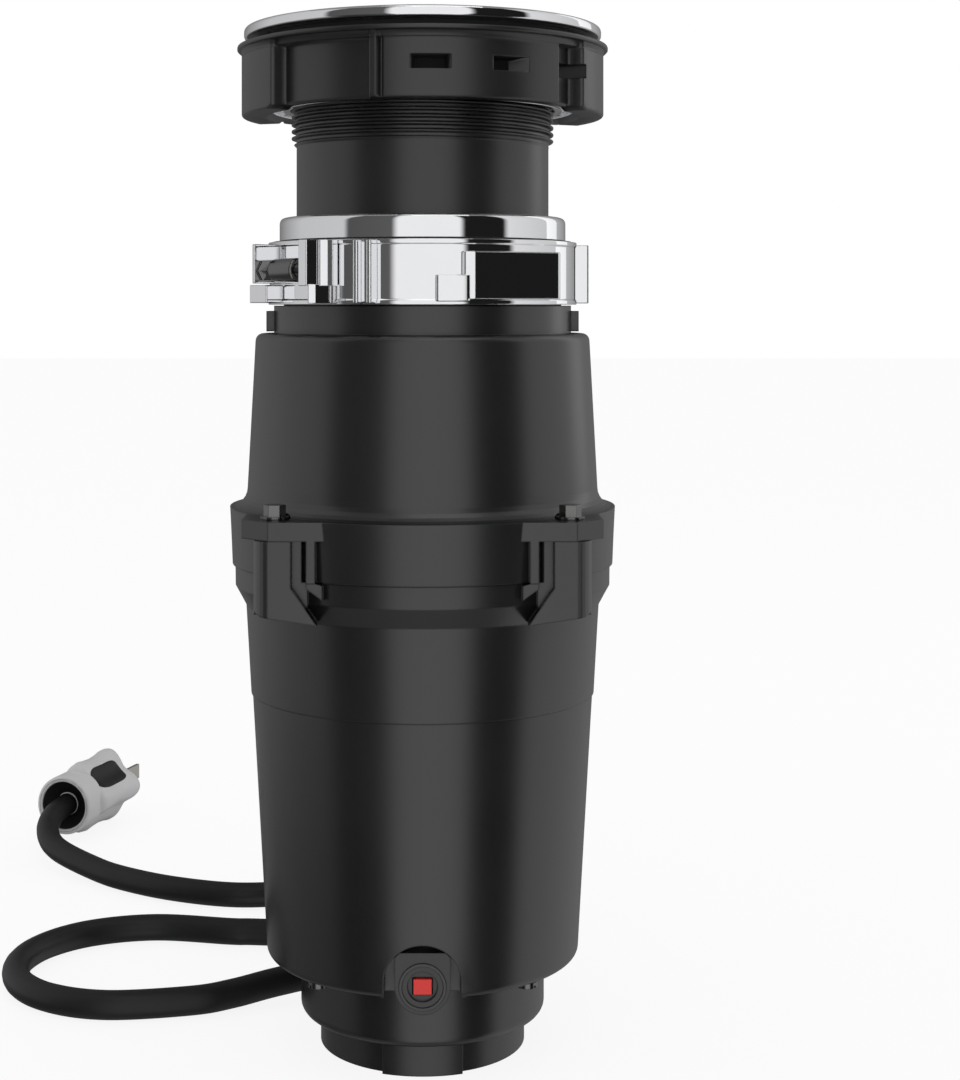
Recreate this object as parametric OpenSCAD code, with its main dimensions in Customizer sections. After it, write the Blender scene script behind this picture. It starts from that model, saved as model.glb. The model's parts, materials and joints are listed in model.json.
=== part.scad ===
// Compact kitchen garbage disposal with its sink mount, drain elbow and power cord.
// The shaft axis is Z, the foot stands on Z = 0 and the front, with the reset
// button, faces -Y. Angles around the axis are counted from the front to the right.

/* [Base] */
// Diameter of the foot ring
foot_d = 65.2; // [60:0.2:72]
// Height of the foot ring
foot_h = 9.8; // [8:0.1:13]
// Width of the locating tab on the front of the foot
foot_tab_w = 24.5; // [16:0.5:30]
// How far the tab stands out from the foot ring
foot_tab_out = 1.9; // [1:0.1:3]
// Diameter of the end cap
cap_d = 77.8; // [74:0.2:86]
// Height of the end cap
cap_h = 18.7; // [17:0.1:24]
// Wall of the foot and of the end cap
cap_wall = 2.4; // [1.8:0.1:3.4]

/* [Motor shell] */
// Diameter of the shell at its lower edge
shell_bottom_d = 99.6; // [96:0.2:106]
// Diameter of the shell at its upper edge
shell_top_d = 108.7; // [106:0.2:112]
// Height of the shell
shell_h = 82.8; // [80:0.2:100]
// Wall of the shell
shell_wall = 2.2; // [1.6:0.1:2.6]
// Radius of the rounded lower edge
shell_edge = 2.2; // [1:0.1:3]

/* [Reset button] */
// Width of the arched recess
arch_w = 22.9; // [20:0.1:26]
// Height of the recess above the lower edge of the shell
arch_h = 16.5; // [14:0.1:20]
// Width of the switch face
face_w = 16.6; // [14:0.1:18]
// Height of the switch face
face_h = 18.4; // [16:0.1:22]
// Width of the button
button_w = 5.4; // [4:0.1:7]
// Height of the button
button_h = 4.5; // [3.5:0.1:6]
// Travel of the button
button_travel = 2; // [1:0.1:2.6]

/* [Motor] */
// Diameter of the shaft
shaft_d = 12; // [9:0.2:13]
// Length of the magnet ring
magnet_len = 40; // [34:0.5:44]
// Thickness of the magnets
magnet_t = 5; // [3:0.1:6]
// Gap between armature and magnets
air_gap = 0.8; // [0.4:0.1:1.2]
// Wall of the steel can
can_wall = 2.4; // [1.6:0.1:3]
// Diameter of the long motor screws
tie_d = 4; // [3:0.1:4.4]
// Diameter of the commutator
comm_d = 28; // [24:0.2:30]
// Outer diameter of both bearings
bearing_d = 28; // [26:0.2:30]
// Width of both bearings
bearing_w = 8; // [6:0.1:9]

/* [Housings] */
// Diameter of the lower housing at its lower edge
lower_d = 109.6; // [109:0.2:112]
// Diameter of the lower housing below its chamfer
waist_d = 112.8; // [112:0.2:115]
// Diameter of the lower housing at its upper edge
lower_top_d = 119.6; // [118:0.2:120.8]
// Height of the lower housing
lower_h = 41.2; // [38:0.2:46]
// Height from the chamfer to the upper edge
chamfer_drop = 13; // [12:0.2:15]
// Diameter of the skirt at its lower edge
skirt_d = 121.5; // [121:0.1:123]
// Diameter of the skirt at its upper edge
skirt_top_d = 123.1; // [122.8:0.1:125]
// Height of the skirt
skirt_h = 18; // [16:0.2:22]
// Height of the flared ledge
ledge_h = 5.9; // [4:0.1:8]
// Diameter of the hopper above the ledge
hopper_d = 112; // [110:0.2:114]
// Diameter of the hopper at its shoulder
shoulder_d = 107; // [104:0.2:108]
// Height of the hopper wall
hopper_h = 49.1; // [48:0.2:58]
// Wall of the housings
wall = 2.8; // [2.2:0.1:3.2]
// Diameter of the hopper neck
neck_d = 95.2; // [93:0.2:96]
// Visible height of the hopper neck
neck_h = 9.1; // [8:0.1:12]

/* [Housing screws] */
// Distance of the boss faces from the axis
boss_face = 54; // [53:0.1:56]
// Distance of each screw from the axis planes
bolt_xy = 44.2; // [43.8:0.1:45]
// Thickness of the boss plate
boss_plate = 5.6; // [4:0.1:7]
// Diameter of the screws
bolt_d = 4; // [3:0.1:4.5]
// Width across flats of the screw heads
bolt_af = 5.8; // [5:0.05:6.6]

/* [Grinding] */
// Height of the turntable plane above the sump floor
table_up = 33.5; // [30:0.2:36]
// Thickness of the turntable
table_t = 2.5; // [1.5:0.1:3.5]
// Gap between turntable and grind ring
table_gap = 0.7; // [0.4:0.1:1.2]
// Thickness of the grind ring
grind_t = 2.6; // [1.6:0.1:3]
// Height of the grind ring
grind_h = 22; // [18:0.5:24]
// Number of slots in the grind ring
grind_slots = 24; // [16:1:32]
// Length of an impeller from its pin to its tip
impeller_len = 14; // [11:0.2:14.6]
// Height of an impeller
impeller_h = 11; // [8:0.2:14]

/* [Clamp] */
// Diameter of the clamp band
clamp_d = 98.7; // [98:0.1:100]
// Height of the clamp band
clamp_h = 19.7; // [18:0.1:24]
// Thickness of the clamp band
clamp_t = 1.2; // [0.8:0.1:1.4]
// Diameter of the upper ring
ring_d = 91.6; // [90:0.2:94]
// Height of the upper ring
ring_h = 7.6; // [6:0.1:10]
// Diameter of the clamp screw
clamp_screw_d = 4; // [3:0.1:5]

/* [Sink mount] */
// Outer diameter of the plain sleeve
sleeve_d = 80.8; // [80:0.2:82]
// Wall of the sleeve
sleeve_wall = 2; // [1.6:0.1:2.4]
// Plain height of the sleeve above the upper ring
plain_h = 22.1; // [18:0.2:26]
// Free thread below the nut
thread_free = 11.2; // [8:0.1:14]
// Height of a thread above the sleeve
thread_depth = 1.6; // [1:0.1:1.8]
// Pitch of the thread
thread_pitch = 2.2; // [2:0.1:3]
// Height of the mounting nut
nut_h = 21.2; // [19:0.1:26]
// Diameter of the flange on the nut
nut_flange_d = 118.6; // [117:0.2:120]
// Diameter of the backup ring
backup_d = 99.4; // [97:0.2:101]
// Thickness of the backup ring
backup_t = 2.4; // [1.8:0.1:3]
// Diameter of the sink gasket
gasket_d = 105; // [102:0.2:108]
// Thickness of the sink gasket
gasket_t = 2.1; // [1.5:0.1:4]
// Diameter of the sink flange
rim_d = 114.3; // [112:0.1:117]
// Height of the sink flange rim
rim_h = 3.5; // [3:0.1:5]

/* [Drain] */
// Height of the drain outlet above the sump floor
outlet_up = 24.2; // [24.2:0.1:25.6]
// Distance of the outlet face from the axis
outlet_reach = 66; // [65:0.5:72]
// Outer diameter of the elbow
elbow_d = 38; // [36:0.2:38.4]
// Wall of the elbow
elbow_wall = 2.4; // [2:0.1:3]
// Distance from outlet face to the pipe's centre line
elbow_reach = 70; // [66:0.5:80]
// Distance from the outlet's centre line down to the pipe's end
elbow_drop = 108; // [90:1:120]
// Length of the diamond flange
plate_l = 76.6; // [76:0.2:80]
// Width of the diamond flange
plate_w = 47.6; // [47:0.1:48]
// Spacing of the flange screws
plate_bolts = 62; // [61.6:0.1:64]

/* [Cord] */
// Diameter of the cord
cord_d = 9.4; // [8:0.1:10]
// Largest diameter of the strain relief
gland_d = 13; // [12:0.2:13.6]
// Width of the plug
plug_w = 32; // [28:0.5:32]
// Length of the plug body
plug_l = 40; // [36:0.5:44]

/* [Hidden] */
$fn = 72;

// Clearances
gap = 0.3;
run_fit = 0.05;
slip = 0.1;
cut = 0.01;

// Levels, from the floor upwards
z_cap = foot_h;
z_shell = z_cap + cap_h;
z_seam = z_shell + shell_h;
z_skirt = z_seam + lower_h;
z_ledge = z_skirt + skirt_h;
z_hopper = z_ledge + ledge_h;
z_shoulder = z_hopper + hopper_h;
z_clamp = z_shoulder + neck_h;
z_clamp_top = z_clamp + clamp_h;
z_ring = z_clamp_top + gap;
z_ring_top = z_ring + ring_h;
z_thread = z_ring_top + plain_h;
z_nut = z_thread + thread_free;
z_backup = z_nut + 0.7;
z_nut_top = z_nut + nut_h;
z_gasket = z_nut_top + gap;
z_rim = z_gasket + gasket_t;
z_top = z_rim + rim_h;

// Polar point: a in degrees from the front towards the right
function at(r, a) = [r * sin(a), -r * cos(a)];

// Rounded corner between angles a0 and a1 about the centre c, in the r-z plane
function arc(c, r, a0, a1, n = 6) = [for (i = [0 : n])
    [c[0] + r * cos(a0 + (a1 - a0) * i / n), c[1] + r * sin(a0 + (a1 - a0) * i / n)]];

// Radius of a straight tapered wall at height z
function taper(z, z0, d0, z1, d1) = (d0 + (d1 - d0) * (z - z0) / (z1 - z0)) / 2;

module lathe(points) rotate_extrude() polygon(points);

// Plain ring between two radii
module ring(r_in, r_out, h) difference() {
    cylinder(r = r_out, h = h);
    translate([0, 0, -cut]) cylinder(r = r_in, h = h + 2 * cut);
}

// Upright piece of a ring between the angles a0 and a1
module sector(r_in, r_out, a0, a1, h, step = 4) {
    n = max(1, ceil((a1 - a0) / step));
    linear_extrude(h) polygon(concat(
        [for (i = [0 : n]) at(r_out, a0 + (a1 - a0) * i / n)],
        [for (i = [n : -1 : 0]) at(r_in, a0 + (a1 - a0) * i / n)]));
}

// Hexagonal prism by its width across flats
module hex(af, h) cylinder(d = af / cos(30), h = h, $fn = 6);

// Block with rounded upright edges
module rounded_block(w, l, h, r) linear_extrude(h)
    union() {
        translate([-w / 2 + r, -l / 2]) square([w - 2 * r, l]);
        translate([-w / 2, -l / 2 + r]) square([w, l - 2 * r]);
        for (x = [-1, 1], y = [-1, 1]) translate([x * (w / 2 - r), y * (l / 2 - r)]) circle(r);
    }

// ---------- base ----------
foot_r = foot_d / 2;
cap_r = cap_d / 2;
tab_r = foot_r + foot_tab_out;
cap_edge = 3;
bearing_r = bearing_d / 2;
hub_wall = 2.6;
z_bearing = z_cap + cap_wall;
z_hub_top = z_bearing + bearing_w + 1;

module foot_ring() {
    color("#1c1c1d") union() {
        difference() {
            cylinder(r = foot_r, h = foot_h);
            translate([0, 0, cap_wall]) cylinder(r = foot_r - cap_wall, h = foot_h);
        }
        // locating tab
        intersection() {
            ring(foot_r - cap_wall, tab_r, foot_h);
            translate([-foot_tab_w / 2, -tab_r - 1, 0]) cube([foot_tab_w, tab_r, foot_h]);
        }
    }
}

module end_cap() {
    color("#1c1c1d") difference() {
        union() {
            lathe(concat([[0, z_cap]],
                arc([cap_r - cap_edge, z_cap + cap_edge], cap_edge, -90, 0),
                [[cap_r, z_shell], [cap_r - cap_wall, z_shell], [cap_r - cap_wall, z_bearing],
                 [0, z_bearing]]));
            // hub of the lower bearing
            translate([0, 0, z_cap]) cylinder(r = bearing_r + hub_wall, h = z_hub_top - z_cap);
        }
        translate([0, 0, z_bearing]) cylinder(r = bearing_r + slip, h = z_hub_top);
    }
}

module bearing(z) {
    translate([0, 0, z]) difference() {
        cylinder(r = bearing_r, h = bearing_w);
        translate([0, 0, -cut]) cylinder(r = shaft_d / 2 + run_fit, h = bearing_w + 2 * cut);
        // groove between the races, on both faces
        for (h = [-cut, bearing_w - 1]) translate([0, 0, h])
            ring(shaft_d / 2 + 2.5, bearing_r - 2.5, 1 + cut);
    }
}

module lower_bearing() { color("#b9bcc0") bearing(z_bearing); }

// ---------- motor shell ----------
shell_r0 = shell_bottom_d / 2;
shell_r1 = shell_top_d / 2;
shell_in0 = shell_r0 - shell_wall;
z_floor = z_shell + shell_wall;
tie_r = tie_d / 2;
tie_at = shell_in0 - tie_r - 0.5;
tie_angles = [45, 135, 225, 315];
can_r = tie_at - tie_r - 0.6;
can_in = can_r - can_wall;
magnet_in = can_in - magnet_t;
armature_r = magnet_in - air_gap;
z_brush = z_floor;
brush_plate_t = 2.4;
z_comm = z_brush + brush_plate_t + 1.5;
comm_h = 11;
coil_h = 7;
z_core = z_comm + comm_h + 1 + coil_h;
z_core_top = z_core + magnet_len;
z_can = z_core - 4;
can_h = magnet_len + 8;
floor_hole = comm_d / 2 + 2.5;
boss_pad = 5;

// Arched opening that stands on z = 0 and runs along Y
module arch(w, h, l) rotate([90, 0, 0]) linear_extrude(l) union() {
    translate([-w / 2, 0]) square([w, h - w / 2]);
    translate([0, h - w / 2]) circle(w / 2);
}

arch_back = shell_r0 - 8.5;
// the button ends its travel inside this wall
pocket_wall = button_travel;

module motor_shell() {
    color("#1c1c1d") difference() {
        union() {
            lathe(concat(
                arc([shell_r0 - shell_edge, z_shell + shell_edge], shell_edge, -90, 0),
                [[shell_r1, z_seam], [shell_r1 - shell_wall, z_seam], [shell_in0, z_floor],
                 [floor_hole, z_floor], [floor_hole, z_shell]]));
            // pocket behind the arched recess
            intersection() {
                translate([0, -arch_back + pocket_wall, z_shell]) arch(arch_w + 3, arch_h + 1.5, shell_r0);
                translate([0, 0, z_shell]) cylinder(r1 = shell_r0 - 0.8,
                    r2 = shell_r0 - 0.8 + (shell_r1 - shell_r0) * (arch_h + 5) / shell_h, h = arch_h + 5);
            }
            // ledges that carry the can, tied into the wall
            for (a = tie_angles) rotate(a + 45) can_rib();
        }
        translate([0, -arch_back, z_shell - cut]) arch(arch_w, arch_h, shell_r0);
        translate([-button_w / 2 - gap, -arch_back - 1, z_face_mid - button_h / 2 - gap])
            cube([button_w + 2 * gap, pocket_wall + 2, button_h + 2 * gap]);
        for (a = tie_angles) rotate(a) translate([0, -tie_at, z_shell - cut])
            cylinder(r = tie_r + slip, h = shell_wall + 2 * cut);
    }
}

// Rib from the shell wall to the can, with a step below the can
module can_rib() {
    lean = (shell_r1 - shell_r0) / shell_h;
    z_low = z_can - 3;
    h = can_h + 3;
    intersection() {
        translate([-2, -shell_r1, z_low]) cube([4, shell_r1 - can_in, h]);
        difference() {
            translate([0, 0, z_low]) cylinder(h = h,
                r1 = shell_r0 - 0.8 + lean * (z_low - z_shell),
                r2 = shell_r0 - 0.8 + lean * (z_low + h - z_shell));
            translate([0, 0, z_can]) cylinder(r = can_r, h = h);
        }
    }
}

module motor_tie_screws() {
    color("#4a4b4d") for (a = tie_angles) rotate(a) translate([0, -tie_at, 0]) {
        translate([0, 0, z_shell - 1.8]) difference() {
            cylinder(r = tie_r + 1.2, h = 1.8);
            translate([-0.5, -4, -cut]) cube([1, 8, 0.8]);
        }
        translate([0, 0, z_shell]) cylinder(r = tie_r, h = shell_h + boss_pad);
    }
}

module motor_can() {
    color("#8d9094") translate([0, 0, z_can]) ring(can_in, can_r, can_h);
}

module field_magnets() {
    half_span = 65;
    color("#3a3b3d") for (a = [90, 270])
        translate([0, 0, z_core]) sector(magnet_in, can_in - slip, a - half_span, a + half_span, magnet_len);
}

module brush_plate() {
    color("#5b4a36") translate([0, 0, z_brush]) difference() {
        ring(comm_d / 2 + 2, can_r - 4, brush_plate_t);
        // room for the switch at the front
        translate([-face_w / 2 - 3, -can_r, -cut]) cube([face_w + 6, can_r - 24, brush_plate_t + 1]);
    }
}

brush_in = comm_d / 2 + gap;
brush_len = 12;
holder_out = brush_in + 17;
brush_w = 6.8;
brush_h = 5.8;
z_brush_mid = z_comm + comm_h / 2;

module brush_holders() {
    color("#c9a95a") for (a = [0, 180]) rotate(a) difference() {
        translate([brush_in + 2, -5, z_brush + brush_plate_t])
            cube([holder_out - brush_in - 2, 10, z_brush_mid + 4.5 - z_brush - brush_plate_t]);
        translate([brush_in, -brush_w / 2 - slip, z_brush_mid - brush_h / 2 - slip])
            cube([holder_out - brush_in - 1, brush_w + 2 * slip, brush_h + 2 * slip]);
    }
}

module carbon_brushes() {
    color("#2e2e30") for (a = [0, 180]) rotate(a)
        translate([brush_in, -brush_w / 2, z_brush_mid - brush_h / 2])
            cube([brush_len - 2, brush_w, brush_h]);
}

module brush_springs() {
    color("#b9bcc0") for (a = [0, 180]) rotate(a)
        translate([brush_in + brush_len - 2, 0, z_brush_mid]) rotate([0, 90, 0]) union() {
            for (k = [0 : 2 : 5]) translate([0, 0, k]) ring(1.4, 2.4, 1);
            cylinder(r = 1.5, h = 6);
        }
}

module rectifier() {
    color("#28313f") translate([0, can_r - 16, z_brush + brush_plate_t])
        rounded_block(18, 7, 11, 1);
}

// ---------- reset button ----------
face_r = face_w / 2;
z_face_mid = z_shell + arch_h - face_h + face_r - 2.6;
face_y = -shell_r0 + 0.6;
face_depth = shell_r0 - 0.6 - arch_back;
dish_r = 4.5;
trim_r = 7;

module reset_face() {
    color("#111112") difference() {
        translate([0, face_y + face_depth, 0]) rotate([90, 0, 0]) linear_extrude(face_depth) intersection() {
            union() {
                translate([0, z_face_mid]) circle(face_r);
                translate([-face_r, z_face_mid]) square([face_w, face_h - face_r]);
            }
            // keeps the corners clear of the arch
            union() {
                translate([0, z_shell + arch_h - arch_w / 2]) circle(arch_w / 2 - gap);
                translate([-face_r, z_cap]) square([face_w, cap_h + arch_h - arch_w / 2]);
            }
        }
        // groove of the trim ring, dish and button hole
        translate([0, face_y - cut, z_face_mid]) rotate([-90, 0, 0]) {
            ring(trim_r - 0.8, trim_r, 0.8);
            cylinder(r = dish_r, h = 1);
        }
        translate([-button_w / 2 - gap, face_y - 1, z_face_mid - button_h / 2 - gap])
            cube([button_w + 2 * gap, face_depth + 2, button_h + 2 * gap]);
        // clearance to the end cap
        translate([0, 0, z_cap]) cylinder(r = cap_r, h = z_shell - z_cap);
    }
}

module reset_trim_ring() {
    color("#3c3c3e") translate([0, face_y - 0.4, z_face_mid]) rotate([-90, 0, 0])
        ring(trim_r - 0.8 + 0.02, trim_r - 0.02, 1.2 - cut);
}

module reset_button() {
    color("#d8302c") translate([-button_w / 2, face_y + 0.1, z_face_mid - button_h / 2])
        cube([button_w, face_depth - 0.1 - gap, button_h]);
}

switch_y = -arch_back + pocket_wall + gap;

module overload_switch() {
    h = z_can - 3 - gap - z_floor;
    color("#2a2a2c") translate([0, switch_y + 5, z_floor]) rounded_block(face_w, 10, h, 1);
}

// ---------- rotor ----------
shaft_r = shaft_d / 2;
z_sump = z_skirt;
z_table = z_sump + table_up;
z_shaft_end = z_table + table_t + 9;

module shaft() {
    color("#c3c6ca") translate([0, 0, z_bearing + 0.5]) union() {
        cylinder(r = shaft_r, h = z_table - z_bearing - 0.5);
        cylinder(r = shaft_r - 2, h = z_shaft_end - z_bearing - 0.5);
    }
}

module armature_core() {
    slots = 14;
    color("#77797c") translate([0, 0, z_core]) difference() {
        ring(shaft_r, armature_r, magnet_len);
        for (k = [0 : slots - 1]) rotate(k * 360 / slots) {
            translate([-1, armature_r - 4, -1]) cube([2, 6, magnet_len + 2]);
            translate([0, armature_r - 8, -1]) cylinder(r = 3.4, h = magnet_len + 2);
        }
    }
}

module armature_coils() {
    coil_out = armature_r - 3;
    color("#b5652b") for (z = [z_core - coil_h, z_core_top]) translate([0, 0, z])
        lathe(concat([[shaft_r + 3, 0]], arc([coil_out - 2.5, 2.5], 2.5, -90, 0),
            arc([coil_out - 2.5, coil_h - 2.5], 2.5, 0, 90), [[shaft_r + 3, coil_h]]));
}

module commutator() {
    bars = 14;
    color("#b5652b") translate([0, 0, z_comm]) difference() {
        ring(shaft_r, comm_d / 2, comm_h);
        for (k = [0 : bars - 1]) rotate(k * 360 / bars)
            translate([-0.3, comm_d / 2 - 1.5, -1]) cube([0.6, 3, comm_h - 1]);
    }
}

fan_r = armature_r - 2;
z_fan = z_core_top + coil_h + 1.5;

module cooling_fan() {
    color("#e4e2da") translate([0, 0, z_fan]) union() {
        ring(shaft_r, shaft_r + 4, 6);
        ring(shaft_r, fan_r, 1.4);
        for (k = [0 : 8]) rotate(k * 40) translate([-0.7, shaft_r + 2, 0])
            cube([1.4, fan_r - shaft_r - 3, 6]);
    }
}

// ---------- lower housing ----------
lower_r = lower_d / 2;
waist_r = waist_d / 2;
lower_top_r = lower_top_d / 2;
z_waist = z_skirt - chamfer_drop;
z_chamfer = z_waist + 6.3;
z_low_top = z_skirt - slip;
deck_z = z_low_top - wall;
z_upper_bearing = deck_z - bearing_w;
seal_r = shaft_r + 5;
corners = [[1, 1], [-1, 1], [-1, -1], [1, -1]];

boss_in = boss_face - 25;
boss_cut = bolt_xy + 1.4;

// Screw column and its flared web, drawn for the corner at +X +Y
module boss_column(z1) {
    x0 = bolt_xy - 5.4;
    x1 = bolt_xy + 6.2;
    z0 = z_waist + 0.6;
    flare = 7.6;
    web = [[x0 - flare, z0], [x1 - 2.6, z0 + 2.4], [x1 - 0.8, z0 + 3.4], [x1, z0 + 5.2], [x1, z1],
        [x0, z1], [x0, z0 + 11], [x0 - 2.2, z0 + 8]];
    intersection() {
        union() {
            translate([0, boss_face, 0]) rotate([90, 0, 0]) linear_extrude(boss_face - 34) polygon(web);
            rotate(90) mirror([0, 1, 0]) translate([0, boss_face, 0]) rotate([90, 0, 0])
                linear_extrude(boss_face - 34) polygon(web);
        }
        // the outer corner is rounded
        linear_extrude(z1) polygon([[boss_in, boss_in], [x1, boss_in],
            for (k = [0 : 6]) [boss_cut + (x1 - boss_cut) * cos(15 * k),
                boss_cut + (boss_face - boss_cut) * sin(15 * k)],
            [boss_in, boss_face]]);
    }
}

module lower_housing() {
    color("#1c1c1d") difference() {
        union() {
            lathe([[lower_r, z_seam], [waist_r, z_waist], [lower_top_r, z_chamfer],
                [lower_top_r + 0.1, z_low_top], [0, z_low_top], [0, deck_z], [lower_top_r - wall, deck_z],
                [lower_top_r - wall, z_chamfer], [waist_r - wall, z_waist],
                [lower_r - wall, z_seam + boss_pad],
                [can_r - 3, z_seam + boss_pad], [can_r - 3, z_seam]]);
            translate([0, 0, z_upper_bearing - 1])
                cylinder(r = bearing_r + hub_wall, h = bearing_w + 1 + wall);
            // radial ribs between hub and wall
            for (k = [0 : 5]) rotate(k * 60) translate([-1.2, bearing_r + 1, deck_z - 7])
                cube([2.4, waist_r - wall - bearing_r, 7 + wall - 1]);
            intersection() {
                for (c = corners) scale_corner(c) boss_column(z_ledge - boss_plate - slip);
                difference() {
                    translate([0, 0, z_waist]) cylinder(r = boss_face * 1.4, h = z_ledge);
                    translate([0, 0, z_waist - 1]) cylinder(r = lower_top_r - wall, h = z_ledge);
                    translate([0, 0, z_low_top]) cylinder(r = max(skirt_r, skirt_top_r) + slip, h = z_ledge);
                }
            }
            rib_feet();
        }
        translate([0, 0, z_upper_bearing - 1 - cut])
            cylinder(r = bearing_r + slip, h = bearing_w + 1 + 2 * cut);
        translate([0, 0, z_upper_bearing]) cylinder(r = seal_r, h = z_skirt);
        for (c = corners) translate([c[0] * bolt_xy, c[1] * bolt_xy, z_waist + 6])
            cylinder(r = bolt_d / 2 + slip, h = z_ledge);
        for (a = tie_angles) rotate(a) translate([0, -tie_at, z_seam - cut])
            cylinder(r = tie_r + slip, h = boss_pad + 1);
    }
}

// Copy of a +X +Y corner in another corner
module scale_corner(c) mirror([c[0] < 0 ? 1 : 0, 0, 0]) mirror([0, c[1] < 0 ? 1 : 0, 0]) children();

// Slim ribs beside the bosses: outline in the x-z plane
rib_x = boss_face - 22.4;
rib_w = 2.7;

module slim_rib(outline) intersection() {
    for (c = corners) scale_corner(c)
        translate([0, boss_face, 0]) rotate([90, 0, 0]) linear_extrude(10) polygon(outline);
    difference() {
        cylinder(r = boss_face * 1.5, h = z_hopper);
        translate([0, 0, -cut]) cylinder(r = lower_top_r - wall + 0.3, h = z_hopper + 1);
    }
}

module rib_feet() slim_rib([[rib_x, z_low_top], [rib_x - 2.1, z_low_top - 0.6], [rib_x - 2.1, z_skirt - 5],
    [rib_x + rib_w, z_low_top - 1.4], [rib_x + rib_w, z_low_top]]);

module upper_bearing() { color("#b9bcc0") bearing(z_upper_bearing); }

seal_h = wall + 1.4;

module shaft_seal() {
    color("#2c2c2e") translate([0, 0, z_upper_bearing + bearing_w])
        ring(shaft_r + run_fit, seal_r - 0.02, seal_h);
}

z_slinger = z_upper_bearing + bearing_w + seal_h + 0.6;

module slinger() {
    color("#55585c") translate([0, 0, z_slinger]) union() {
        ring(shaft_r, seal_r + 5, 1.6);
        ring(shaft_r, shaft_r + 3, 5);
    }
}

module housing_seal() {
    seal_t = 2;
    seal_out = min(skirt_r, taper(z_low_top + seal_t, z_skirt, skirt_d, z_ledge, skirt_top_d)) - wall - slip;
    color("#3b3b3d") translate([0, 0, z_low_top]) ring(seal_out - 2.9, seal_out, seal_t);
}

// ---------- upper housing ----------
skirt_r = skirt_d / 2;
skirt_top_r = skirt_top_d / 2;
hopper_r = hopper_d / 2;
shoulder_r = shoulder_d / 2;
neck_r = neck_d / 2;
sleeve_r = sleeve_d / 2;
shoulder_edge = 2.5;
neck_bore = sleeve_r + 1;
neck_top_r = neck_r - 3.1;
throat_r = sleeve_r - 2.4;
z_baffle = z_clamp + 1.4;
z_neck_top = z_clamp + 13.6;
z_roof = z_shoulder - wall;
outlet_z = z_sump + outlet_up;
outlet_bore = elbow_d / 2 - elbow_wall;
z_grind = z_table - 3;
grind_r = taper(z_grind + grind_h, z_hopper, hopper_d, z_shoulder, shoulder_d) - wall - slip;
grind_in = grind_r - grind_t;
grind_tab_t = 3;
washer_r = bolt_af * 0.76;
table_r = grind_in - table_gap;
flange_pad = 5;
lug_w = 14;

// Space inside the upper housing, up to the throat
module hopper_space() lathe([[0, z_skirt - 1], [skirt_r - wall, z_skirt - 1], [skirt_r - wall, z_skirt],
    [skirt_top_r - wall, z_ledge], [hopper_r - wall, z_hopper], [shoulder_r - wall, z_roof],
    [neck_r - wall, z_roof], [throat_r, z_clamp - 2], [throat_r, z_baffle], [neck_bore, z_baffle],
    [neck_bore, z_clamp_top], [0, z_clamp_top]]);

// Diamond outline of the drain flange
module diamond(l, w, tip = 7.3) {
    hull() {
        circle(w / 2);
        for (s = [-1, 1]) translate([s * (l / 2 - tip), 0]) circle(tip);
    }
}

// Stands its children, drawn in x-y, upright at the outlet and facing +Y
module on_outlet(y) translate([0, y, outlet_z]) rotate([-90, 0, 0]) children();

module boss_plate_shape() linear_extrude(boss_plate) polygon([
    [boss_in, boss_in], [boss_face, boss_in], [boss_face, boss_cut],
    [boss_cut, boss_face], [boss_in, boss_face]]);

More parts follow.
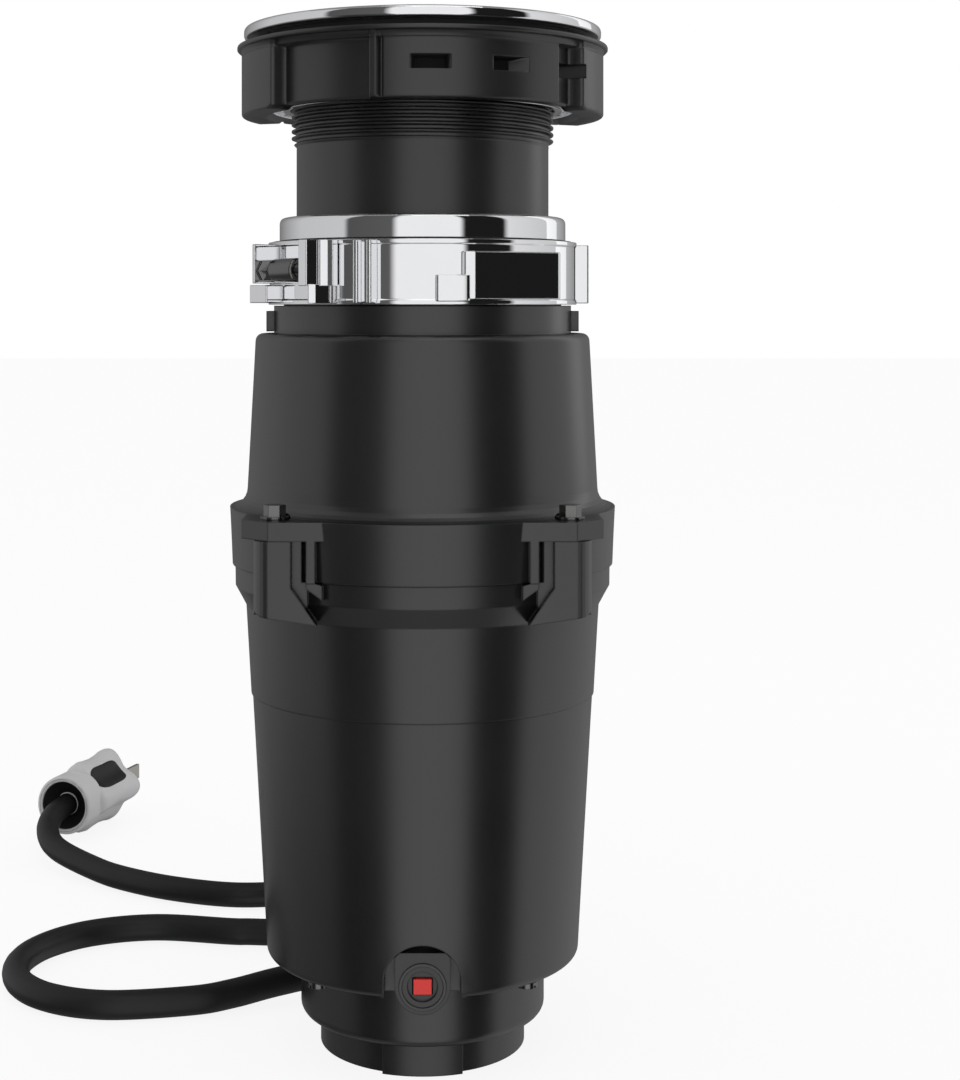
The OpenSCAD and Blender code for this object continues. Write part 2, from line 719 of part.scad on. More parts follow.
module upper_housing() {
    color("#1c1c1d") difference() {
        union() {
            lathe(concat([[0, z_skirt], [skirt_r, z_skirt], [skirt_top_r, z_ledge]],
                [for (k = [1 : 5]) [skirt_top_r - (skirt_top_r - hopper_r) * sin(90 * k / 6),
                    z_ledge + ledge_h * (1 - cos(90 * k / 6))]],
                [[hopper_r, z_hopper]],
                arc([shoulder_r - shoulder_edge, z_shoulder - shoulder_edge], shoulder_edge, 0, 90),
                [[neck_r, z_shoulder], [neck_r, z_clamp - gap], [neck_top_r, z_clamp - gap],
                 [neck_top_r, z_neck_top], [0, z_neck_top]]));
            // plates of the four bosses
            translate([0, 0, z_ledge - boss_plate]) intersection() {
                for (c = corners) scale_corner(c) boss_plate_shape();
                cylinder(r = boss_face * 1.5, h = boss_plate);
            }
            slim_rib([[rib_x, z_skirt], [rib_x + rib_w, z_skirt],
                [rib_x + rib_w, z_ledge - 1], [rib_x, z_ledge - 1]]);
            // side lugs on the neck
            for (s = [-1, 1]) translate([s > 0 ? 0 : -clamp_d / 2 - 0.3, -lug_w / 2, z_shoulder + 0.6])
                cube([clamp_d / 2 + 0.3, lug_w, neck_h - 2.6]);
            // drain outlet: pipe stub, screw bosses and pad
            on_outlet(0) cylinder(r = outlet_bore + wall + 0.6, h = outlet_reach);
            for (s = [-1, 1]) translate([s * plate_bolts / 2, 0, 0]) on_outlet(0)
                cylinder(r = 5.6, h = outlet_reach - 1);
            on_outlet(outlet_reach - flange_pad) linear_extrude(flange_pad) diamond(plate_l, plate_w);
        }
        hopper_space();
        on_outlet(hopper_r / 2) cylinder(r = outlet_bore, h = outlet_reach);
        for (s = [-1, 1]) translate([s * plate_bolts / 2, 0, 0]) on_outlet(outlet_reach - 10)
            cylinder(r = elbow_screw_r + slip, h = 11);
        for (c = corners) translate([c[0] * bolt_xy, c[1] * bolt_xy, z_skirt])
            cylinder(r = bolt_d / 2 + slip, h = skirt_h + 1);
        // seat of the screw heads, cut into the flare
        for (c = corners) translate([c[0] * bolt_xy, c[1] * bolt_xy, z_ledge])
            cylinder(r = washer_r + gap, h = ledge_h);
    }
    // tabs that carry the grind ring
    color("#1c1c1d") intersection() {
        for (k = [0 : 5]) translate([0, 0, z_grind - grind_tab_t])
            sector(grind_in, hopper_r, k * 60 + 20, k * 60 + 40, grind_tab_t);
        translate([0, 0, z_grind - grind_tab_t]) cylinder(r = hopper_r - wall + 0.4, h = grind_tab_t);
    }
}

module housing_screws() {
    washer_t = 0.9;
    head_h = 3.4;
    color("#4a4b4d") for (c = corners) translate([c[0] * bolt_xy, c[1] * bolt_xy, z_ledge]) union() {
        cylinder(r = washer_r, h = washer_t);
        hex(bolt_af, washer_t + head_h);
        translate([0, 0, -boss_plate - 15]) cylinder(r = bolt_d / 2, h = boss_plate + 15);
    }
}

// ---------- grinding ----------
module grind_ring() {
    slot = 360 / grind_slots;
    color("#b4b8bc") translate([0, 0, z_grind]) difference() {
        ring(grind_in, grind_r, grind_h);
        for (k = [0 : grind_slots - 1]) rotate(k * slot)
            translate([-1.6, -grind_r - 1, 3]) cube([3.2, grind_t + 2, grind_h * 0.55]);
    }
}

impeller_at = table_r - impeller_len - 3.4;
impeller_pin = 2.6;
hub_r = impeller_at - impeller_len - 1;

module turntable() {
    color("#b4b8bc") translate([0, 0, z_table]) difference() {
        union() {
            ring(shaft_r - 2, table_r, table_t);
            translate([0, 0, -5]) ring(shaft_r, shaft_r + 4, 5);
            ring(shaft_r - 2, min(hub_r, 13), table_t + 2.5);
        }
        for (k = [0 : 5]) rotate(k * 60 + 30) translate([0, -table_r * 0.72, -1])
            cylinder(r = 2.2, h = table_t + 2);
        for (s = [-1, 1]) translate([s * impeller_at, 0, -1]) cylinder(r = impeller_pin, h = table_t + 2);
    }
}

module turntable_nut() {
    color("#c9ccd0") translate([0, 0, z_table + table_t + 2.5]) difference() {
        hex(12, 7);
        translate([0, 0, -cut]) cylinder(r = shaft_r - 2, h = 8);
    }
}

// Swivelling lug on its pin, pointing along +X or -X
module impeller(s) {
    w = 9;
    color("#9fa3a8") translate([s * impeller_at, 0, z_table + table_t + gap])
    rotate(s > 0 ? 0 : 180) difference() {
        union() {
            translate([0, -w / 2, 0]) cube([impeller_len, w, 3]);
            cylinder(r = w / 2, h = 3);
            translate([impeller_len - 4, -w / 2, 0]) cube([4, w, impeller_h]);
        }
        translate([0, 0, -cut]) cylinder(r = impeller_pin + 0.08, h = impeller_h + 1);
    }
}

module impeller_left() impeller(-1);
module impeller_right() impeller(1);

module impeller_pins() {
    color("#c9ccd0") for (s = [-1, 1]) translate([s * impeller_at, 0, z_table]) union() {
        cylinder(r = impeller_pin, h = table_t + gap * 2 + 3.2);
        translate([0, 0, -1.4]) cylinder(r = impeller_pin + 1.6, h = 1.4);
        translate([0, 0, table_t + gap * 2 + 3]) cylinder(r = impeller_pin + 1.6, h = 1.6);
    }
}

// ---------- clamp ----------
clamp_r = clamp_d / 2;
clamp_in = clamp_r - clamp_t;
cushion_r = clamp_in - gap;
fin_out = 5.2;
fin_angles = [-19.3, 100, -140.7];
screw_angle = -50;
screw_at = clamp_r + 4;
z_screw = z_clamp + clamp_h * 0.53;
barrel_r = 3.7;
barrel_half = 6;
clamp_screw_r = clamp_screw_d / 2;
plate_x = -barrel_half - 5.6;
bracket_a0 = 6.6;
bracket_a1 = 19.5;
bracket_out = screw_at + 3.3;

module splash_baffle() {
    lip = 4;
    hole_r = throat_r * 0.316;
    sag = 9;
    flap_t = 2;
    color("#2b2b2d") difference() {
        lathe([[hole_r, z_baffle - sag], [throat_r - 1.5, z_baffle - 1], [throat_r - 1.5, z_baffle + 0.1],
            [neck_bore - slip, z_baffle + 0.1], [neck_bore - slip, z_baffle + lip],
            [throat_r - 3, z_baffle + lip],
            [throat_r - 4, z_baffle + 1.4], [hole_r, z_baffle - sag + flap_t]]);
        for (k = [0 : 7]) rotate(k * 45) translate([-0.6, hole_r - 3, z_baffle - sag - 3])
            cube([1.2, throat_r - hole_r - 7, sag + 11]);
    }
}

module mount_cushion() {
    lap = z_neck_top + slip;
    color("#2b2b2d") lathe([[neck_top_r + slip, z_clamp + slip], [cushion_r, z_clamp + slip],
        [cushion_r, z_ring - cut], [sleeve_r + slip, z_ring - cut], [sleeve_r + slip, lap],
        [neck_top_r + slip, lap]]);
}

// Places its children on the clamp, facing -Y, at an angle around the axis
module on_clamp(a, z) rotate(a) translate([0, 0, z]) children();

module clamp_band() {
    bead = 0.3;
    color("#c9ccd0") difference() {
        union() {
            lathe([[clamp_in, z_clamp], [clamp_r, z_clamp], [clamp_r, z_clamp + 1.2],
                [clamp_r - bead, z_clamp + 1.6],
                [clamp_r - bead, z_clamp_top - 1.6], [clamp_r, z_clamp_top - 1.2], [clamp_r, z_clamp_top],
                [clamp_in, z_clamp_top]]);
            // three pairs of upright stiffening fins
            for (a = fin_angles, x = [-2.9, 1.3]) on_clamp(a, z_clamp + 0.4)
                translate([x, -clamp_r - fin_out, 0]) cube([1.6, fin_out + 2, clamp_h - 0.8]);
            // stepped stop block with a flat face
            on_clamp(27, z_clamp + 1.6) linear_extrude(clamp_h - 5.4) polygon([[-11.5, -clamp_in],
                [-11, -clamp_r], [-8.5, -clamp_r - 1.5], [20.7, -clamp_r - 1.5], [21.6, -clamp_r - 0.6],
                [21.8, -clamp_r + 8], [0, -clamp_r + 4]]);
            translate([0, 0, z_clamp + 1]) sector(clamp_in, clamp_r + 1.6, 4.6, 16, clamp_h * 0.4);
            // screw ear and its foot
            on_clamp(screw_angle, z_clamp + 6.5) translate([plate_x - 1.2, -screw_at - 4.4, 0])
                cube([1.2, 12, clamp_h - 7.6]);
            on_clamp(screw_angle, z_clamp + 0.5) translate([plate_x - 8, -screw_at - 0.6, 0])
                cube([9, 8, 5.6]);
        }
        translate([0, 0, z_clamp - 1]) cylinder(r = clamp_in, h = clamp_h + 2);
        on_clamp(screw_angle, z_screw) translate([plate_x - 10, -screw_at, 0]) rotate([0, 90, 0])
            cylinder(r = clamp_screw_r + slip, h = 12);
    }
}

module clamp_bracket() {
    color("#c9ccd0") difference() {
        translate([0, 0, z_clamp + 5.6]) sector(clamp_r, bracket_out, screw_angle + bracket_a0,
            screw_angle + bracket_a1, clamp_h - 5.8, 2);
        on_clamp(screw_angle, z_screw) translate([0, -screw_at, 0]) rotate([0, 90, 0])
            cylinder(r = clamp_screw_r + run_fit, h = barrel_half + 4.2);
    }
}

module clamp_barrel() {
    color("#454547") on_clamp(screw_angle, z_screw) translate([-barrel_half, -screw_at, 0]) rotate([0, 90, 0])
        difference() {
            cylinder(r = barrel_r, h = 2 * barrel_half - 0.3);
            translate([0, 0, -cut]) cylinder(r = clamp_screw_r + run_fit, h = 2 * barrel_half);
        }
}

module clamp_screw() {
    color("#c9ccd0") on_clamp(screw_angle, z_screw) translate([0, -screw_at, 0]) rotate([0, 90, 0]) union() {
        translate([0, 0, plate_x - 2]) cylinder(r = clamp_screw_r, h = barrel_half + 3.8 - plate_x + 2);
        // peened end behind the ear, and the nut in front of it
        translate([0, 0, plate_x - 1.2 - gap - 1.6]) cylinder(r = clamp_screw_r + 0.6, h = 1.6);
        translate([0, 0, plate_x + gap]) hex(2 * clamp_screw_r + 2, -barrel_half - 2 * gap - plate_x);
    }
}

module support_ring() {
    ring_r = ring_d / 2;
    edge = 2.4;
    color("#d4d6d9") lathe(concat([[sleeve_r + slip, z_ring], [ring_r, z_ring]],
        arc([ring_r - edge, z_ring_top - edge], edge, 0, 90), [[sleeve_r + slip, z_ring_top]]));
}

// ---------- sink mount ----------
sleeve_in = sleeve_r - sleeve_wall;
thread_r = sleeve_r + thread_depth;
nut_bore = thread_r + 0.4;
z_sleeve = z_baffle + 4.1;
turns = floor((z_rim - z_thread - 1) / thread_pitch);

module threaded_sleeve() {
    color("#1c1c1d") lathe(concat([[sleeve_in, z_sleeve], [sleeve_r, z_sleeve], [sleeve_r, z_thread]],
        [for (k = [0 : turns - 1], j = [0, 1])
            [sleeve_r + (j == 0 ? 0.05 : thread_depth), z_thread + (k + 0.25 + j * 0.5) * thread_pitch]],
        [[sleeve_r + 0.05, z_rim - 0.6], [sleeve_r, z_rim - cut], [sleeve_in, z_rim - cut]]));
}

backup_r = backup_d / 2;

module backup_ring() {
    color("#d4d6d9") difference() {
        translate([0, 0, z_backup]) ring(nut_bore, backup_r, backup_t);
        // hollow underside between two rims
        translate([0, 0, z_backup - cut]) ring(nut_bore + 2.2, backup_r - 1.6, backup_t - 0.8);
    }
}

nut_flange_r = nut_flange_d / 2;
nut_flange_t = 1.5;
nut_wall_r = nut_flange_r - 6.3;
panel_r = nut_flange_r - 3.3;
lobe_r = nut_flange_r - 1.4;
// start, end and radius of the raised panels and of the deep gripping lobes
panels = [[-12.7, 48, panel_r], [128.1, 188.8, panel_r], [198.5, 237.5, panel_r]];
lobes = [[57.7, 118.4, lobe_r], [247.2, 307.9, lobe_r]];
lobe_drop = 1.2;
notch_angles = [2.5, 28.2, 53.9, 143.2, 168.9, 208, 230];
notch_w = 11.8;
notch_h = 4.4;

module mount_nut() {
    color("#232325") difference() {
        union() {
            translate([0, 0, z_nut]) ring(nut_bore, nut_wall_r, nut_h);
            translate([0, 0, z_nut_top - nut_flange_t]) ring(nut_bore, nut_flange_r, nut_flange_t);
            translate([0, 0, z_nut_top - nut_flange_t - 1.8]) ring(nut_bore, nut_wall_r + 3.6, 2);
            for (p = panels) translate([0, 0, z_nut])
                sector(nut_wall_r - 2, p[2], p[0], p[1], nut_h - nut_flange_t);
            for (p = lobes) translate([0, 0, z_nut - lobe_drop])
                sector(nut_wall_r - 1, p[2], p[0], p[1], nut_h + lobe_drop - nut_flange_t);
        }
        // seat of the backup ring
        translate([0, 0, z_nut - lobe_drop - 1])
            cylinder(r = backup_r + gap, h = z_backup + backup_t + slip - z_nut + lobe_drop + 1);
        for (a = notch_angles) rotate(a)
            translate([-notch_w / 2, -nut_flange_r, z_nut_top - 8.4 - notch_h])
                cube([notch_w, nut_flange_r - nut_wall_r + 2.6, notch_h]);
    }
}

module sink_gasket() {
    color("#1a1a1b") translate([0, 0, z_gasket]) ring(thread_r + gap, gasket_d / 2, gasket_t);
}

module sink_flange() {
    rim_r = rim_d / 2;
    tube_r = sleeve_in - slip;
    tube_l = 24;
    color("#d4d6d9") lathe(concat([[tube_r, z_rim - tube_l], [tube_r, z_rim]],
        arc([rim_r - 1.4, z_rim + 1.4], 1.4, -90, 0), arc([rim_r - 1.6, z_top - 1.6], 1.6, 0, 90),
        [[rim_r - 8, z_top]],
        [for (k = [1 : 6]) [tube_r - 1.5 + (rim_r - 6.5 - tube_r) * (1 - sin(90 * k / 6)),
            z_top - (rim_h + 0.5) * (1 - cos(90 * k / 6))]],
        [[tube_r - 1.5, z_rim - tube_l]]));
}

// ---------- drain ----------
elbow_screw_r = 3;
drain_gasket_t = 2.5;
elbow_r = elbow_d / 2;
elbow_flange_r = plate_bolts / 2 - elbow_screw_r - 1;
elbow_flange_t = 4;
plate_t = 3;
bend_r = 30;
elbow_y = outlet_reach + drain_gasket_t;
pipe_y = outlet_reach + elbow_reach;

module drain_gasket() {
    color("#2b2b2d") on_outlet(outlet_reach) difference() {
        cylinder(r = elbow_flange_r - 2, h = drain_gasket_t);
        translate([0, 0, -cut]) cylinder(r = outlet_bore + 0.5, h = drain_gasket_t + 2 * cut);
    }
}

// Solid along the elbow's centre line, longer by over at both ends
module elbow_path(r, over) union() {
    on_outlet(elbow_y - over) cylinder(r = r, h = pipe_y - bend_r - elbow_y + over);
    translate([0, pipe_y - bend_r, outlet_z - bend_r]) intersection() {
        rotate([90, 0, 90]) rotate_extrude() translate([bend_r, 0]) circle(r);
        translate([-r - 1, 0, 0]) cube([2 * r + 2, bend_r + r + 1, bend_r + r + 1]);
    }
    translate([0, pipe_y, outlet_z - elbow_drop - over]) cylinder(r = r, h = elbow_drop - bend_r + over);
}

module drain_elbow() {
    color("#1c1c1d") difference() {
        union() {
            elbow_path(elbow_r, 0);
            on_outlet(elbow_y) cylinder(r = elbow_flange_r, h = elbow_flange_t);
        }
        elbow_path(elbow_r - elbow_wall, 1);
    }
}

module elbow_flange() {
    color("#b9bcc0") on_outlet(elbow_y + elbow_flange_t) difference() {
        linear_extrude(plate_t) diamond(plate_l, plate_w);
        translate([0, 0, -cut]) cylinder(r = elbow_r + 2.2, h = plate_t + 2 * cut);
        for (s = [-1, 1]) translate([s * plate_bolts / 2, 0, -cut])
            cylinder(r = elbow_screw_r + 0.5, h = plate_t + 2 * cut);
    }
}

module elbow_screws() {
    grip = drain_gasket_t + elbow_flange_t + plate_t;
    color("#c9ccd0") for (s = [-1, 1]) translate([s * plate_bolts / 2, 0, 0])
    on_outlet(outlet_reach) union() {
        translate([0, 0, -9]) cylinder(r = elbow_screw_r, h = 9 + grip);
        translate([0, 0, grip]) cylinder(r = 6, h = 1.2);
        translate([0, 0, grip]) hex(9, 5);
    }
}

// ---------- cord ----------
cord_r = cord_d / 2;
gland_r = gland_d / 2;
cord_heading = 200;
gland_line = cap_r + gland_r + 1.6;
gland_end = 8.35;
gland_l = 24;
box_l = 30;
cord_z = 7.6;

// Points of the cord, from the strain relief to the plug
cord_points = [
    [-24, 41.3, 7.6], [-33, 38, 7.5], [-49.9, 30.6, 6.2], [-63.2, 23.2, 5.1], [-76.2, 17.3, 4.8],
    [-103.1, 13.1, 4.8], [-122.8, 19.4, 4.8], [-136, 33.4, 4.8], [-140.8, 52.3, 4.8],
    [-135.7, 71.7, 4.8], [-121, 86.8, 4.8], [-98.1, 93.5, 4.8], [-70.5, 88.8, 4.8], [-62.3, 88.3, 4.8],
    [-40.5, 86.1, 4.8], [-35.3, 85.8, 4.8], [-1.8, 81.2, 4.8], [22.1, 88.9, 4.8], [36.4, 104.4, 4.8],
    [40.9, 123.6, 4.8], [35.7, 142.1, 4.8], [22.3, 155.7, 4.8], [3.5, 161.3, 4.8], [-16.8, 156.7, 4.8],
    [-40.8, 140.1, 4.8], [-54.5, 134.7, 4.8], [-74.7, 133.5, 4.8], [-98, 141.5, 4.8],
    [-118.3, 153.9, 4.9], [-132.8, 166.2, 5.5], [-152, 186.7, 7.8], [-159.1, 202, 11.2],
    [-159.4, 216.9, 14.2], [-155.5, 229, 16]];
cord_sides = 12;

function spline(p, i, t) =
    let (a = i > 0 ? p[i - 1] : 2 * p[0] - p[1], b = p[i], c = p[i + 1],
         d = i + 2 < len(p) ? p[i + 2] : 2 * p[i + 1] - p[i])
    0.5 * (2 * b + (c - a) * t + (2 * a - 5 * b + 4 * c - d) * t * t + (3 * b - a - 3 * c + d) * t * t * t);

// Ring of a tube at point p with the direction q, kept level
function tube_ring(p, q, r, n) =
    let (u = q / norm(q), s = cross(u, [0, 0, 1]), side = s / norm(s), up = cross(side, u))
    [for (k = [0 : n - 1]) p + r * (cos(360 * k / n) * side + sin(360 * k / n) * up)];

module tube(path, r, n) {
    m = len(path);
    rings = [for (i = [0 : m - 1])
        tube_ring(path[i], path[min(i + 1, m - 1)] - path[max(i - 1, 0)], r, n)];
    polyhedron(
        points = [for (g = rings) each g],
        faces = concat([[for (k = [n - 1 : -1 : 0]) k]], [[for (k = [0 : n - 1]) (m - 1) * n + k]],
            [for (i = [0 : m - 2], k = [0 : n - 1])
                [i * n + k, i * n + (k + 1) % n, (i + 1) * n + (k + 1) % n, (i + 1) * n + k]]));
}

cord_path = concat([for (i = [0 : len(cord_points) - 2], t = [0, 0.5]) spline(cord_points, i, t)],
    [cord_points[len(cord_points) - 1]]);

// Frame of the cord outlet: +X runs along the leaving cord
module at_outlet() rotate(cord_heading) translate([0, -gland_line, cord_z]) children();

module cord_box() {
    color("#1c1c1d") difference() {
        at_outlet() translate([gland_end - gland_l - box_l, -11, 1.2 - cord_z]) union() {
            cube([box_l, gland_line - cap_r + 22, 18]);
            translate([2, 2, 18]) cube([box_l - 4, 14, 1.4]);
        }
        cylinder(r = cap_r, h = z_shell);
        at_outlet() translate([gland_end - gland_l - 6, 0, 0]) rotate([0, 90, 0]) cylinder(r = cord_r, h = 7);
    }
}

module cord_gland() {
    color("#1a1a1b") at_outlet() translate([gland_end - gland_l, 0, 0]) rotate([0, 90, 0])
        rotate_extrude() polygon([[0, 0], [gland_r, 0], [gland_r, 3],
            for (k = [0 : 4]) each [[gland_r - 0.8 - k * 0.12, 3.6 + k * 4],
                [gland_r - 0.5 - k * 0.12, 6.4 + k * 4]],
            [cord_r + 0.5, gland_l], [0, gland_l]]);
}

module power_cord() { color("#1a1a1b") tube(cord_path, cord_r, cord_sides); }

// Frame of the plug: +X runs on from the end of the cord, level
plug_at = cord_points[len(cord_points) - 1];
plug_dir = plug_at - cord_points[len(cord_points) - 2];
module at_plug() translate(plug_at) rotate(atan2(plug_dir[1], plug_dir[0])) children();

module plug_body() {
    mouth = 0.7;
    collar_l = 4;
    color("#b9bcc0") at_plug() union() {
        rotate([0, 90, 0]) difference() {
            translate([0, 0, -collar_l]) cylinder(r = plug_w * 0.4, h = collar_l + 9);
            translate([0, 0, -collar_l - cut]) cylinder(r = plug_w * 0.32, h = collar_l + cut);
            translate([0, 0, -cut]) cylinder(r = cord_r + gap, h = mouth + cut);
        }
        translate([6, 0, 0]) rotate([90, 0, 90]) linear_extrude(plug_l - 6) polygon([
            for (k = [0 : 23]) let (a = k * 15, r = plug_w / 2 * (0.86 + 0.14 * cos(4 * a)))
                [r * cos(a), r * sin(a)]]);
    }
}

module plug_blades() {
    color("#c9a95a") at_plug() union() {
        for (s = [-1, 1]) translate([plug_l, s * 6.35 - 0.75, -1]) cube([16, 1.5, 6.4]);
        translate([plug_l, 0, -7]) rotate([0, 90, 0]) cylinder(r = 2.4, h = 18);
    }
}

foot_ring();
end_cap();
lower_bearing();
motor_shell();
motor_tie_screws();
motor_can();
field_magnets();
brush_plate();
brush_holders();
carbon_brushes();
brush_springs();
rectifier();
overload_switch();
reset_face();
reset_trim_ring();
reset_button();
shaft();
armature_core();
armature_coils();
commutator();
cooling_fan();
lower_housing();
upper_bearing();
shaft_seal();
slinger();
housing_seal();
upper_housing();
housing_screws();
grind_ring();
turntable();
turntable_nut();
impeller_left();
impeller_right();
impeller_pins();
splash_baffle();
mount_cushion();
clamp_band();
clamp_bracket();
clamp_barrel();
clamp_screw();
support_ring();
threaded_sleeve();
backup_ring();
mount_nut();
sink_gasket();
sink_flange();
drain_gasket();
drain_elbow();
elbow_flange();
elbow_screws();
cord_box();
cord_gland();
power_cord();
plug_body();
plug_blades();
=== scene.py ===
"""Looks of the compact kitchen garbage disposal: surfaces, finishes, light and camera.

Sizes are in metres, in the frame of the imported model. The shaft axis is Z, the front
faces -Y, and angles round the axis are counted from the front to the right.
"""

import json
import math

import bmesh
import bpy
import numpy as np
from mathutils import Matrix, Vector


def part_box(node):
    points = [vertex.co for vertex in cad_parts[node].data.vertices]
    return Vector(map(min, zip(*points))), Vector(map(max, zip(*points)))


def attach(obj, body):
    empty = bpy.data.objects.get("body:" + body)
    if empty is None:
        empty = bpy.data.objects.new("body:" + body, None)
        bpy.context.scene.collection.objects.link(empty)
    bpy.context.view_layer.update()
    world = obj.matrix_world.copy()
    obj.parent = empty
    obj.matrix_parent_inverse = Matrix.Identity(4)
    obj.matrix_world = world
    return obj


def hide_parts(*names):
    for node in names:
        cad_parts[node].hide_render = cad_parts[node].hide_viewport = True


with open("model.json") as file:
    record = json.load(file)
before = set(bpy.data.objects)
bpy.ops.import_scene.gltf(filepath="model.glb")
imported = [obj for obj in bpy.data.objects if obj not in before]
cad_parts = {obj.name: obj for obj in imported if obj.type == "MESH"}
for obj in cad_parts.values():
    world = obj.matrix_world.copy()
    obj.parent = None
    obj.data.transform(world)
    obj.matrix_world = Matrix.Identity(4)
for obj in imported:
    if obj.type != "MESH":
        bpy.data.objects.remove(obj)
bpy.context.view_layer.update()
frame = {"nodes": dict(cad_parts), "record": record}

MM = 0.001
TAU = 2 * math.pi


# ---------------------------------------------------------------- sizes from the frame
def low(node):
    """Lowest corner of a node, as an array."""
    return np.array(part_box(node)[0])


def high(node):
    """Highest corner of a node, as an array."""
    return np.array(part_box(node)[1])


# ---------------------------------------------------------------- camera
CAMERA_DISTANCE = 0.630
CAMERA_HEIGHT = 0.2345
LENS = 65.33
SHIFT = (0.0532, -0.2176)


def make_camera():
    """A level camera on the front side that looks along +Y, moved in its frame and not turned."""
    data = bpy.data.cameras.new("camera")
    data.lens = LENS
    data.shift_x, data.shift_y = SHIFT
    data.clip_start, data.clip_end = 0.01, 50
    camera = bpy.data.objects.new("camera", data)
    camera.location = (0, -CAMERA_DISTANCE, CAMERA_HEIGHT)
    camera.rotation_euler = (math.radians(90), 0, 0)
    bpy.context.collection.objects.link(camera)
    bpy.context.scene.camera = camera


make_camera()


# ---------------------------------------------------------------- surfaces
def add_mesh(name, points, faces, smooth=True):
    """A mesh object from points and faces, its doubles merged and its faces turned outwards."""
    mesh = bpy.data.meshes.new(name)
    mesh.from_pydata(np.asarray(points, float).reshape(-1, 3).tolist(), [], faces)
    work = bmesh.new()
    work.from_mesh(mesh)
    bmesh.ops.remove_doubles(work, verts=work.verts, dist=2e-7)
    bmesh.ops.dissolve_degenerate(work, edges=work.edges, dist=1e-7)
    bmesh.ops.recalc_face_normals(work, faces=work.faces)
    work.to_mesh(mesh)
    work.free()
    mesh.polygons.foreach_set("use_smooth", np.full(len(mesh.polygons), smooth))
    piece = bpy.data.objects.new(name, mesh)
    bpy.context.collection.objects.link(piece)
    return piece


def grid_faces(rows, cols, close_rows=False, close_cols=False):
    """Corner numbers of the quads on a grid of rows x cols points, joined round where it closes."""
    r, c = np.meshgrid(np.arange(rows - (not close_rows)), np.arange(cols - (not close_cols)), indexing="ij")
    r2, c2 = (r + 1) % rows, (c + 1) % cols
    return np.stack([r * cols + c, r * cols + c2, r2 * cols + c2, r2 * cols + c], -1).reshape(-1, 4)


def capped_faces(rows, cols):
    """Corner numbers of a tube of rows x cols points that is closed round and at both ends."""
    ends = [list(range(cols))[::-1], list(range((rows - 1) * cols, rows * cols))]
    return grid_faces(rows, cols, False, True).tolist() + ends


def eased(corners, radii, steps=7):
    """Closed outline with its corners eased. Each corner becomes a quadratic curve that starts and
    ends one radius away and is pulled to the corner. One more point on both straights, a quarter
    radius further out, keeps the flats flat."""
    hold = 0.25
    p = np.asarray(corners, float)
    r = np.broadcast_to(np.asarray(radii, float), len(p))[:, None]
    back, on = np.roll(p, 1, 0) - p, np.roll(p, -1, 0) - p
    back /= np.linalg.norm(back, axis=1, keepdims=True)
    on /= np.linalg.norm(on, axis=1, keepdims=True)
    a, b = (p + back * r)[:, None], (p + on * r)[:, None]
    s = np.linspace(0, 1, steps)[None, :, None]
    curve = (1 - s) ** 2 * a + 2 * s * (1 - s) * p[:, None] + s ** 2 * b
    ends = (p + back * r * (1 + hold))[:, None], (p + on * r * (1 + hold))[:, None]
    return np.concatenate([ends[0], curve, ends[1]], 1).reshape(-1, p.shape[1])


def surface_of_turn(name, r, z):
    """A closed ring whose radius and height may both change with the angle: x = r sin a,
    y = -r cos a. Rows of r and z go round the axis, columns round the section."""
    steps, cols = r.shape
    a = np.arange(steps)[:, None] * TAU / steps
    points = np.stack([r * np.sin(a), -r * np.cos(a), z + 0 * a], -1)
    return add_mesh(name, points, grid_faces(steps, cols, True, True).tolist())


def revolve(name, outline, steps=288):
    """A closed r-z outline carried round Z."""
    outline = np.asarray(outline, float)
    return surface_of_turn(name, np.tile(outline[:, 0], (steps, 1)), np.tile(outline[:, 1], (steps, 1)))


def shrink(outline, by):
    """Outline drawn in by a distance, along the mean normal of the two edges at each point."""
    on = np.roll(outline, -1, 0) - outline
    on /= np.linalg.norm(on, axis=1, keepdims=True) + 1e-12
    inward = np.stack([-on[:, 1], on[:, 0]], 1)
    mean = inward + np.roll(inward, 1, 0)
    mean /= np.maximum((mean * inward).sum(1), 0.4)[:, None]
    area = (outline[:, 0] * np.roll(outline[:, 1], -1) - outline[:, 1] * np.roll(outline[:, 0], -1)).sum()
    return outline + mean * by * np.sign(area)


def slab(name, outline, z0, z1, edge, place=None):
    """An outline carried from z0 to z1 with eased rims: near each end it is drawn in by
    edge (1 - cos t) while the height goes on by edge sin t. One more ring at both ends of the wall,
    hold edges in, keeps it flat. place turns x-y-z into the frame."""
    steps, hold = 5, 1.3
    outline = np.asarray(outline, float)
    t = np.linspace(0, math.pi / 2, steps)
    inset = np.concatenate([edge * (1 - np.sin(t)), [0, 0], edge * (1 - np.cos(t))])
    depth = np.concatenate([edge * (1 - np.cos(t)), [edge * hold, z1 - z0 - edge * hold],
                            z1 - z0 - edge + edge * np.sin(t)])
    rings = np.stack([np.column_stack([shrink(outline, i), np.full(len(outline), z0 + d)])
                      for i, d in zip(inset, depth)])
    if place is not None:
        rings = place(rings)
    return add_mesh(name, rings, capped_faces(*rings.shape[:2]))


def turned(angle):
    """Map that turns points by an angle in degrees round Z."""
    a = math.radians(angle)
    turn = np.array([[math.cos(a), -math.sin(a), 0], [math.sin(a), math.cos(a), 0], [0, 0, 1]])
    return lambda p: np.asarray(p) @ turn.T


